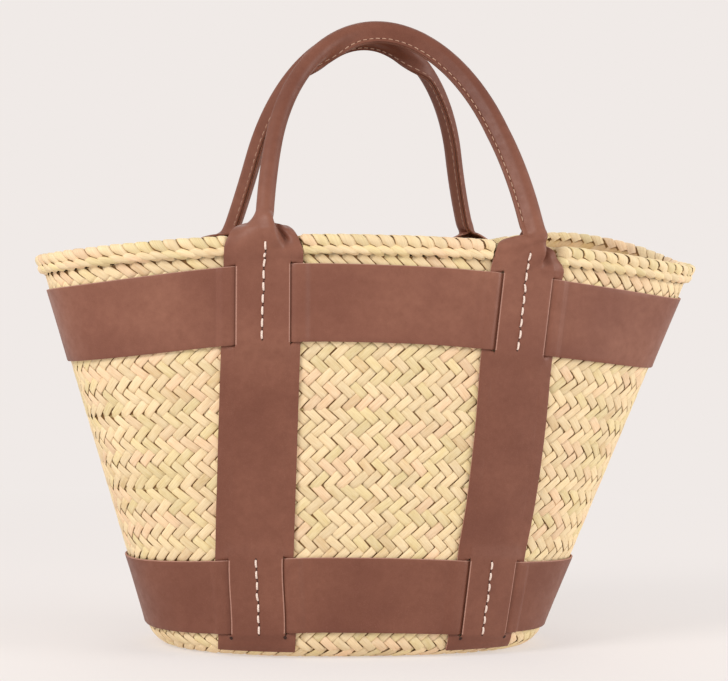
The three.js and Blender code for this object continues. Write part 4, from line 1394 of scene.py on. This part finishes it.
# Top row: lengths round the section, then how it leans and how high it stands
TOP_TIP = 6.9
TOP_POINT = 2.4
TOP_POINT_PLACE = 0.35
TOP_END = RIM_WHOLE / 2 + 10.5
TOP_END_SLANT = 2
TOP_LEAN = 0.42
TOP_LEAN_MIDDLE = 14
TOP_EXTRA_LEAN = 0.5
TOP_EXTRA_START = 20
TOP_OVERLAP = 1.02
TOP_PILLOW = (0.45, 0.6)
TOP_TUCK = 1.3
TOP_TUCK_SHARE = 0.1
TOP_SINK = 0.3
TOP_TILT = 0.35

# The row under it outside, and the row under it inside
LOW_MIDDLE = 4.2
LOW_HALF_LENGTH = 10.2
LOW_HALF_WIDTH = 3.7
LOW_FULLNESS = 2.4
LOW_BLUNTNESS = 0.7
LOW_NARROWEST = 0.12
LOW_SLANT = math.radians(-24)
LOW_PILLOW = (0.9, 0.5)
LOW_DIVE = 1.15
LOW_SINK = 0.45
LOW_TILT = 0.3
INNER_MIDDLE = RIM_WHOLE - 4.8
INNER_HALF_LENGTH = 8.4
INNER_HALF_WIDTH = 4.6
INNER_SLANT = math.radians(46)
INNER_PILLOW = (0.25, 0.35)
INNER_DIVE_START = 0.55
INNER_SINK = 0.75


def under_straps(round_share, offset):
    """How much a place on the rim is pressed by a strap: 0 is not at all, and 1 fully, at the outer face."""
    arc = strap_arc(RIM_LEVEL)
    place = (round_share % 1) * RIM_ROUND
    middles = (arc, RIM_ROUND / 2 - arc, RIM_ROUND / 2 + arc, RIM_ROUND - arc)
    away = np.min([np.abs(place - middle) for middle in middles], axis=0)
    return ease((STRAP_WIDTH / 2 - away) / PRESS_SPAN) * ease((offset - PRESS_START) / PRESS_DEPTH)


def rim_section(along):
    """Places outwards and up at lengths round the section."""
    return [np.interp(along, RIM_LENGTHS, places) for places in RIM_SECTION.T]


def rim_point(share, along, outward):
    """A point of the rim from its place round the bag, its place round the section and its height."""
    offset, level = rim_section(along)
    ahead = rim_section(np.clip(along, RIM_LENGTHS[0], RIM_LENGTHS[-1] - RIM_NUDGE) + RIM_NUDGE)
    behind = rim_section(np.clip(along, RIM_LENGTHS[0] + RIM_NUDGE, RIM_LENGTHS[-1]) - RIM_NUDGE)
    run_offset, run_level = ahead[0] - behind[0], ahead[1] - behind[1]
    length = np.hypot(run_offset, run_level)
    offset = offset + outward * run_level / length
    level = level - outward * run_offset / length
    pressed = under_straps(share, offset)
    sunk = level - RIM_DENT * pressed * ease((level - DENT_START) / DENT_SPAN)
    return wall_point(theta_at(share, np.float64(RIM_LEVEL)), sunk, offset - RIM_PRESS * pressed)


def rim_strands(random, along_steps, place):
    """One row of the braid: place() turns steps along and across a strand into its round distance, its
    place round the section and its height."""
    along, across, faces = leaf_grid(along_steps, STRAND_STEPS)
    each = (RIM_COUNT, 1)
    start = np.arange(RIM_COUNT)[:, None] * RIM_ROUND / RIM_COUNT + random.normal(0, STRAND_SCATTER, each)
    size = random.uniform(*STRAND_SIZES, each)
    turned = random.normal(0, STRAND_TURN_SCATTER, each)
    lift = random.uniform(*STRAND_LIFTS, each)
    distance, section, height = place(along, across * size, turned)
    points = rim_point((start + distance) / RIM_ROUND, section, height + lift).reshape(-1, 3)
    marks = random.uniform(*LEAF_MARKS, each) + 0 * along
    places = [across * STRAND_GRAIN[0] + marks * MARK_STEP, along * STRAND_GRAIN[1] + 0 * marks, marks]
    faces = repeated_faces(faces, RIM_COUNT, len(along))
    return points, faces, np.stack(places, -1).reshape(-1, 3), leaf_tints(random, [RIM_COUNT], across)


def pillow(across, crown, edge):
    """A strand's rounded back, turned down at its two edges."""
    return crown * (1 - across**2) - edge * ease((np.abs(across) - PILLOW_EDGE) / (1 - PILLOW_EDGE))


def slanted(out, wide, direction, middle):
    """Places along and across a slanting strand as its round distance and its place round the section."""
    distance = out * np.cos(direction) - wide * np.sin(direction)
    return distance, middle + out * np.sin(direction) + wide * np.cos(direction)


def top_row(along, across, turned):
    """Pillows that wrap from the front's middle over the top and down inside."""
    tip = TOP_TIP + TOP_POINT * np.abs(across - TOP_POINT_PLACE)
    section = mix(tip, TOP_END + TOP_END_SLANT * across, along)
    lean = (section - TOP_LEAN_MIDDLE) * (TOP_LEAN + turned)
    lean = lean + TOP_EXTRA_LEAN * np.maximum(section - TOP_EXTRA_START, 0)
    tuck = TOP_TUCK * ease((TOP_TUCK_SHARE - along) / TOP_TUCK_SHARE)
    height = pillow(across, *TOP_PILLOW) - tuck - TOP_SINK - TOP_TILT * across
    return across * RIM_PITCH / 2 * TOP_OVERLAP - lean, section, height


def low_row(along, across, turned):
    """Fat strands that run down to the right along the front."""
    narrow = (1 - np.abs(along) ** LOW_FULLNESS) ** LOW_BLUNTNESS
    wide = across * LOW_HALF_WIDTH * np.maximum(narrow, LOW_NARROWEST)
    distance, section = slanted(along * LOW_HALF_LENGTH, wide, LOW_SLANT + turned, LOW_MIDDLE)
    height = pillow(across, *LOW_PILLOW) * narrow - LOW_DIVE * along**2 - LOW_SINK + LOW_TILT * along
    return distance, section, height


def inner_row(along, across, turned):
    """The plait's last row inside, leaning the other way."""
    wide = across * INNER_HALF_WIDTH
    distance, section = slanted(along * INNER_HALF_LENGTH, wide, INNER_SLANT + turned, INNER_MIDDLE)
    dive = ease((np.abs(along) - INNER_DIVE_START) / (1 - INNER_DIVE_START))
    return distance, section, pillow(across, *INNER_PILLOW) - dive - INNER_SINK


def plaited_rim():
    random = np.random.default_rng(RIM_SEED)
    inner = rim_strands(random, INNER_STEPS, inner_row)
    top = rim_strands(random, TOP_STEPS, top_row)
    low = rim_strands(random, LOW_STEPS, low_row)
    shares = np.arange(RIM_BACKING_SIDES) / RIM_BACKING_SIDES
    sections = np.linspace(0, RIM_WHOLE, RIM_BACKING_RINGS)
    grid = rim_point(shares, sections[:, None], -RIM_BACKING)
    shade_backing = [(grid.reshape(-1, 3), grid_faces(len(shares), len(sections), True))]
    made = leaf_piece("plaited_rim", [top, low, with_inside_shade(inner)], shade_backing)
    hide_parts("rim_braid")


# Base

FLOOR_ROWS = range(-10, 11)
FLOOR_COLUMNS = np.arange(-18, 18)
UNDERSIDE_LIFT = 0.35
UNDERSIDE_INSET = 14
UNDERSIDE_BORDER = 18
FLOOR_INSET = 2
FLOOR_BORDER = 7.5
UNDER_RUNS = np.array([5.3, 2, -2, -6, -12, -20, -30, -45, -60, -75, -88])
UNDER_BACKING = 1.9
UNDER_BACKING_SIDES = 160


def oval_reach(x, y, inset):
    """How far a place lies out in the base's oval, made smaller all round by an inset: 1 is on its edge."""
    along = np.abs(x + BASE_SHIFT) / (BASE_HALF_LENGTH - inset)
    over = np.abs(y) / (BASE_HALF_DEPTH - inset)
    return (along**BASE_SQUARENESS + over**BASE_SQUARENESS) ** (1 / BASE_SQUARENESS)


def flat_weave(random, height, facing, inset, border):
    """Herringbone in a plane. Leaves start inside the inset, and are pulled in to the border."""
    rows = []
    for row in FLOOR_ROWS:
        centres, slopes = plait_row(row, FLOOR_COLUMNS, row * ROW_PITCH)
        inside = oval_reach(*centres.T, inset) < 1
        rows.append((centres[inside], slopes[inside]))

    def surface(x, y, outward):
        pulled = 1 / np.maximum(oval_reach(x, y, border), 1)
        x, y = (x + BASE_SHIFT) * pulled - BASE_SHIFT, y * pulled
        return np.stack([x, y, height + facing * outward], -1)

    count = sum(len(slopes) for _, slopes in rows)
    points, faces, places, tints = lay_leaves(random, rows, [count], PLAIN_LEAF, surface)
    return points, faces[:, ::facing], places, tints


def woven_base():
    random = np.random.default_rng(BASE_SEED)
    leaves = [
        woven_rows(random, [-1, -2], 0, FINE_LEAF, run_point),
        flat_weave(random, UNDERSIDE_LIFT, -1, UNDERSIDE_INSET, UNDERSIDE_BORDER),
        flat_weave(random, FLOOR_THICKNESS, 1, FLOOR_INSET, FLOOR_BORDER),
    ]
    points, faces = ring_backing(UNDER_RUNS, UNDER_BACKING_SIDES, -UNDER_BACKING)
    made = leaf_piece("woven_base", leaves, [(points, faces[:, ::-1])])
    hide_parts("basket_base")


def show_node(name, material):
    """A solid whose shape is right stays, with a finished material."""
    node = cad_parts[name]
    node.data.materials.clear()
    node.data.materials.append(material)


woven_base()
for course in range(len(COURSE_ROWS)):
    woven_course(course)
plaited_rim()
band_piece("leather_top_band", "top_band", *TOP_BAND)
band_piece("leather_bottom_band", "bottom_band", *BOTTOM_BAND)
for face, word in ((-1, "front"), (1, "back")):
    replaced = [f"{word}_left_strap", f"{word}_right_strap", f"{word}_handle"]
    shape = leather_strip(face, f"{word}_leather_strip", replaced)
    seam_stitching(shape, f"{word}_handle")
    show_node(f"{word}_handle_core", ROPE)
for site_name, (_, end) in SITES.items():
    strap_stitching(site_name, "top", *TOP_STITCHES[end], TOP_STITCH_COUNT)
    strap_stitching(site_name, "bottom", *BOTTOM_STITCHES, BOTTOM_STITCH_COUNT)
for seam in range(1, len(COURSE_ROWS)):
    show_node(f"seam_twine_{seam}", TWINE)

# Floor, light and camera

BACKGROUND = linear(240, 234, 231)
FLOOR_COLOUR = linear(238, 231, 228)
FLOOR_RADIUS = 6000
FLOOR_RINGS = 24
FLOOR_SIDES = 96
FLOOR_FADE = (0.3, 1.6, 0.55, 1.0)
DAYLIGHT = (1.0, 0.985, 0.97, 1)
DAYLIGHT_STRENGTH = 0.6


def make_stage():
    """A round floor that fades into the background with the distance."""
    points = [(0, 0, 0)]
    for ring in range(1, FLOOR_RINGS + 1):
        reach = FLOOR_RADIUS * (ring / FLOOR_RINGS) ** 2
        for turn in np.linspace(0, TURN, FLOOR_SIDES, False):
            points.append((reach * math.cos(turn), reach * math.sin(turn), 0))
    faces = [(0, 1 + side, 1 + (side + 1) % FLOOR_SIDES) for side in range(FLOOR_SIDES)]
    faces += (grid_faces(FLOOR_SIDES, FLOOR_RINGS, True) + 1).tolist()
    nodes = Nodes("floor")
    reach = nodes.add("ShaderNodeVectorMath", {"operation": "LENGTH"}, Vector=nodes.where()).outputs["Value"]
    near = nodes.add("ShaderNodeBsdfDiffuse", Color=FLOOR_COLOUR)
    far = nodes.add("ShaderNodeEmission", Color=BACKGROUND)
    fading = nodes.show_either(nodes.ramp(reach, *FLOOR_FADE), near, far)
    floor = piece("floor", points, faces, [fading])


def make_world():
    """Even light from all round, and a plain background where the camera sees past the floor."""
    nodes = Nodes("studio", world=True)
    camera_ray = nodes.add("ShaderNodeLightPath").outputs["Is Camera Ray"]
    daylight = nodes.add("ShaderNodeBackground", Color=DAYLIGHT, Strength=DAYLIGHT_STRENGTH)
    seen = nodes.add("ShaderNodeBackground", Color=BACKGROUND)
    bpy.context.scene.world = nodes.show_either(camera_ray, daylight, seen)


def soft_light(name, place, target, size, power):
    data = bpy.data.lights.new(name, "AREA")
    data.size = size
    data.energy = power
    lamp = placed(bpy.data.objects.new(name, data))
    lamp.location = place
    lamp.rotation_euler = (Vector(target) - Vector(place)).to_track_quat("-Z", "Y").to_euler()


# The camera, as found by fitting the solids to the photograph
CAMERA_YAW = math.radians(11.9)
CAMERA_PITCH = math.radians(0.15)
CAMERA_ROLL = math.radians(-1.2)
CAMERA_DISTANCE = 1.7
CAMERA_SIDE = -0.00522
CAMERA_HEIGHT = 0.25
FOCAL_PIXELS = 2076.05
SENSOR_WIDTH = 36
PICTURE_WIDTH = 728


def make_camera():
    """A camera that stands and looks as the one in the photograph did."""
    data = bpy.data.cameras.new("camera")
    data.sensor_width = SENSOR_WIDTH
    data.lens = FOCAL_PIXELS / PICTURE_WIDTH * data.sensor_width
    camera = placed(bpy.data.objects.new("camera", data))
    yawed = Matrix.Rotation(-CAMERA_YAW, 4, "Z")
    stand = Matrix.Translation((CAMERA_SIDE, -CAMERA_DISTANCE, CAMERA_HEIGHT))
    pitched = Matrix.Rotation(QUARTER - CAMERA_PITCH, 4, "X")
    rolled = Matrix.Rotation(-CAMERA_ROLL, 4, "Z")
    camera.matrix_world = yawed @ stand @ pitched @ rolled
    bpy.context.scene.camera = camera


make_stage()
make_world()
soft_light("key", (-1.6, -1.15, 1.45), (0, 0, 0.2), 0.9, 30)
soft_light("fill", (1.9, -0.75, 0.8), (0, 0, 0.2), 1.2, 22)
soft_light("back", (0.6, 1.9, 1.5), (0, 0, 0.25), 1.6, 10)
make_camera()
bpy.context.scene.view_settings.view_transform = "Standard"
